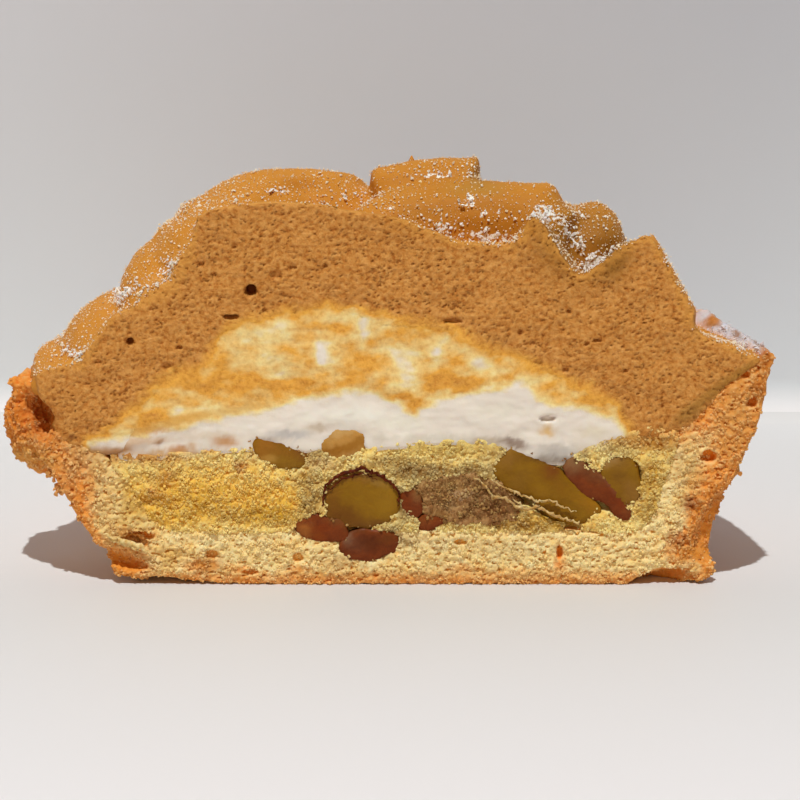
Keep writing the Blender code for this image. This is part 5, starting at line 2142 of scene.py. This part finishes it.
SPONGE_TINTS: tuple[Tint, ...] = (
    (-28.2, 11.0, 1.2, 2.6, 0, "e3bb72", 0.7), (-26.4, 14.2, 2.6, 0.8, 0, "b87636", 0.85),
    (-23.0, 13.8, 2.6, 0.7, 0, "c0803a", 0.7), (-20.0, 14.2, 1.4, 0.5, 0, "dcc096", 0.6),
    (-17.6, 15.0, 1.6, 0.7, 0, "c88a44", 0.8), (-13.6, 14.6, 0.8, 1.0, 0, "cf9c5a", 0.7),
    (-22.8, 11.6, 1.4, 0.8, 0, "c48c34", 0.7), (-23.6, 9.4, 2.0, 0.7, 0, "c88a2c", 0.8),
    (-14.9, 12.9, 0.7, 0.7, 0, "b8762c", 0.8), (-19.0, 8.6, 3.4, 1.4, 0, "d29e34", 0.6),
    (-12.0, 7.6, 3.4, 1.0, 0, "cc9a28", 0.75), (-25.2, 7.4, 2.4, 0.7, 0, "dcac48", 0.7),
    (-15.4, 7.6, 2.4, 0.6, 0, "d4a23a", 0.6), (-8.2, 15.0, 1.4, 1.1, 0, "94683c", 0.9),
    (-6.6, 13.2, 2.0, 0.8, 0, "c9a06a", 0.7), (-8.0, 11.6, 1.6, 0.8, 0, "b88c44", 0.6),
    (-7.6, 9.2, 1.0, 2.2, 0, "b8904e", 0.7), (0.6, 13.4, 2.6, 0.7, 0, "a67c3c", 0.7),
    (2.6, 12.4, 2.0, 0.8, 0, "8c622c", 0.85), (5.0, 12.4, 2.0, 0.8, 0, "9a703a", 0.85),
    (8.6, 12.4, 2.6, 0.7, 0, "ab8650", 0.8), (2.0, 8.4, 0.7, 1.6, 0, "7c5020", 0.7),
    (6.0, 14.9, 7.0, 0.9, 0, "cfb060", 0.6), (10.8, 14.0, 1.6, 1.2, 0, "c8a460", 0.6),
    (13.2, 15.4, 1.4, 0.7, 0, "8c6840", 0.7), (14.0, 6.6, 3.6, 0.7, -5, "a06c1c", 0.85),
    (18.6, 6.6, 2.6, 0.6, -10, "bc9038", 0.7), (11.4, 8.6, 1.6, 0.8, -20, "8a602c", 0.7),
    (22.0, 15.4, 1.6, 0.9, 0, "d8bf9a", 0.7), (20.6, 14.4, 0.8, 0.6, 0, "8a6a4c", 0.7),
    (24.6, 15.8, 2.0, 0.6, 0, "c08a44", 0.8), (28.4, 15.4, 2.6, 0.9, 0, "c88c38", 0.85),
    (27.6, 11.6, 1.4, 2.4, 0, "c4963e", 0.7), (28.0, 8.2, 2.0, 1.4, 0, "c49430", 0.7),
    (30.6, 13.0, 1.4, 2.6, 0, "dcb46c", 0.6), (0.4, 5.8, 1.4, 0.8, 0, "8c6430", 0.7),
)
# among these strokes, the near-white ones across the top of the white band are painted highlights, and the grey and
# grey-brown ones along its bottom by the nuts and beans are painted shade, the darkest a painted shadow spot by the
# right-hand nut
WHIPPED_TINTS: tuple[Tint, ...] = (
    (-30.6, 14.5, 3.0, 0.7, 3, "c08a4c", 0.95), (-27.6, 14.6, 1.8, 0.6, 3, "a8703a", 0.9),
    (-24.4, 14.9, 1.6, 0.7, 0, "e4d4c8", 0.8), (-23.3, 15.4, 0.7, 0.28, 0, "8e5628", 0.9),
    (13.4, 15.4, 1.8, 0.5, -15, "85695a", 0.85), (18.2, 13.6, 3.0, 0.5, 0, "6e5440", 0.8),
    (10.6, 15.6, 1.6, 0.4, 0, "b49a78", 0.7), (24.2, 15.2, 2.0, 0.5, 15, "c8a070", 0.7),
    (-12.4, 15.6, 1.4, 0.4, 0, "a89080", 0.7), (-3.4, 18.3, 4.6, 0.9, 0, "f8f1e6", 0.8),
    (1.6, 17.6, 2.6, 0.8, 0, "f4eede", 0.6), (11.8, 18.9, 2.4, 0.9, 0, "ebe2d2", 0.5),
    (18.0, 14.5, 2.6, 0.9, 0, "bfb6af", 0.8), (13.6, 15.2, 1.0, 0.6, 0, "a08a7c", 0.7),
    (16.9, 16.7, 0.9, 0.6, 0, "e2b36a", 0.85), (-9.8, 16.3, 2.4, 0.5, 0, "c4bdbc", 0.8),
    (-6.8, 17.0, 1.2, 0.5, 0, "b89e80", 0.6), (-26.6, 15.5, 4.5, 0.4, 3, "d9b088", 0.7),
    (-18.0, 16.2, 3.0, 0.5, 0, "d8c0a4", 0.5), (5.0, 15.9, 5.0, 0.4, 0, "d0c8b8", 0.5),
    (-0.4, 16.0, 0.8, 0.5, 0, "cfc4b4", 0.5), (21.6, 16.6, 1.8, 0.7, 0, "e6d6bc", 0.6),
    (-28.4, 16.3, 3.4, 0.5, 8, "cc8c44", 0.9), (-24.0, 16.9, 2.6, 0.45, 8, "dca254", 0.8),
    (-28.6, 14.7, 2.8, 0.5, 6, "a56c30", 0.95), (-21.3, 14.6, 1.0, 0.5, 0, "c47f38", 0.85),
    (-19.8, 15.1, 0.6, 0.5, 0, "cf9a5c", 0.7), (-16.4, 15.5, 1.4, 0.6, 0, "c88844", 0.85),
    (-25.0, 15.0, 1.0, 0.3, 10, "d8c4b4", 0.8), (-20.0, 18.1, 3.2, 0.5, 10, "e3ac58", 0.85),
    (-14.2, 19.1, 2.8, 0.45, 10, "ebc27a", 0.7), (-21.8, 14.2, 4.0, 0.4, 0, "cf9a58", 0.85),
)
CREAM_PULLS: tuple[Pull, ...] = (
    (28.0, 17.4, 3.2, 1.2, 0.0, -0.9), (-30.0, 15.2, 1.6, 0.8, 0.0, -0.2), (15.2, 37.6, 2.5, 2.2, 0.0, 1.15),
    (27.2, 37.0, 1.8, 1.6, -0.4, 0.7), (24.4, 35.2, 2.4, 1.6, 0.0, 0.95), (22.6, 33.4, 1.4, 1.2, 0.0, 0.4),
    (-1.0, 40.8, 3.6, 1.8, 0.0, -0.6),
)
CREAM_NUDGES: tuple[Pull, ...] = (
    (-18.4, 42.2, 3.6, 2.0, 0.2, -0.9), (-21.9, 39.8, 1.6, 1.4, 0.5, -0.5), (21.8, 41.0, 1.6, 1.4, 0.0, 0.45),
    (23.4, 39.8, 2.8, 2.8, 0.4, 0.6), (19.2, 41.6, 1.8, 1.6, 0.1, -1.0), (17.4, 42.4, 2.4, 1.4, 0.3, 0.5),
    (-0.8, 44.2, 1.3, 1.4, -0.6, 0.4), (9.4, 45.0, 0.9, 0.9, 0.35, 0.35), (10.4, 43.2, 0.7, 0.9, -0.5, 0.0),
    (4.6, 45.4, 3.0, 0.8, 0.0, -0.2),
)
# among these strokes are painted shade: the darker browns on the right-hand dome, partly the cream's own brown and
# partly shade where it faces away from the light; the band of four strokes down the right where the cream overhangs
# the crust; and the small dark spot at the left edge, the shade of a hole
CREAM_TINTS: tuple[Tint, ...] = (
    (-30.6, 14.3, 3.0, 0.7, 3, "b98444", 0.95), (-27.6, 14.4, 1.8, 0.6, 3, "a8703a", 0.9),
    (8.0, 41.6, 9.0, 4.4, 0, "bc7826", 0.75), (20.0, 36.8, 5.0, 4.2, 0, "a06a28", 0.9),
    (21.6, 36.4, 3.0, 3.0, 0, "a56a22", 0.85), (23.4, 35.4, 1.6, 2.6, 0, "8e5e22", 0.85),
    (18.6, 37.4, 1.6, 2.0, 0, "a8732c", 0.6), (11.0, 39.4, 5.0, 2.0, 0, "b87420", 0.75),
    (12.0, 38.0, 4.0, 0.8, 0, "ac6c1c", 0.7), (3.6, 39.4, 3.0, 1.0, 0, "bd7c2c", 0.7),
    (-8.6, 42.6, 2.4, 0.8, 0, "b8701c", 0.7), (9.4, 43.2, 0.8, 1.0, 0, "a8773c", 0.6),
    (9.6, 42.0, 3.0, 0.8, 0, "b08238", 0.5), (27.6, 15.8, 4.0, 1.0, 0, "b87430", 0.8),
    (-34.4, 18.4, 1.0, 1.6, 0, "b46a28", 0.6), (36.8, 22.9, 2.4, 0.55, 38, "b07c34", 0.75),
    (34.0, 20.8, 2.4, 0.7, 40, "aa7632", 0.8), (31.6, 18.7, 2.0, 0.8, 40, "a97836", 0.75),
    (-32.3, 16.1, 0.35, 0.3, 0, "74380f", 0.9), (10.0, 44.0, 1.6, 1.6, 0, "a8742c", 0.5),
)


def main() -> None:
    """Builds the tart layer by layer, then the set."""
    logging.basicConfig(level=logging.INFO, format="%(message)s")
    crust = Crust(
        "crust", SHORTCRUST, "crust", grain=0.49, cuts=3, pulls=CRUST_PULLS, nudges=CRUST_NUDGES, tints=CRUST_TINTS
    ).build()
    sponge = Sponge(
        "almond_sponge", SPONGE, "almond_sponge", grain=0.45, cuts=3, pulls=SPONGE_PULLS, tints=SPONGE_TINTS
    ).build()
    Cream("whipped_cream", WHIPPED, "whipped_cream", grain=0.42, soften=6, swell=0.8, tints=WHIPPED_TINTS).build()
    cream = PipedCream(
        "chestnut_cream",
        CHESTNUT_CREAM,
        "chestnut_cream",
        grain=0.45,
        cuts=2,
        soften=6,
        swell=0.55,
        pulls=CREAM_PULLS,
        nudges=CREAM_NUDGES,
        tints=CREAM_TINTS,
        ragged=0.15,
    ).build()
    Filling(MORSELS, STRANDS).build()
    Crumbs(crust, "crust_crumbs", SHORTCRUST, "crust", 7000, 111, elsewhere=0.1, hanging=HANGING_CRUMBS).build()
    Crumbs(sponge, "sponge_crumbs", SPONGE, "almond_sponge", 7000, 121, elsewhere=0.0).build()
    Sugar((cream, crust)).build()
    CreamTip(cream).build()
    Studio().build()


if __name__ == "__main__":
    main()
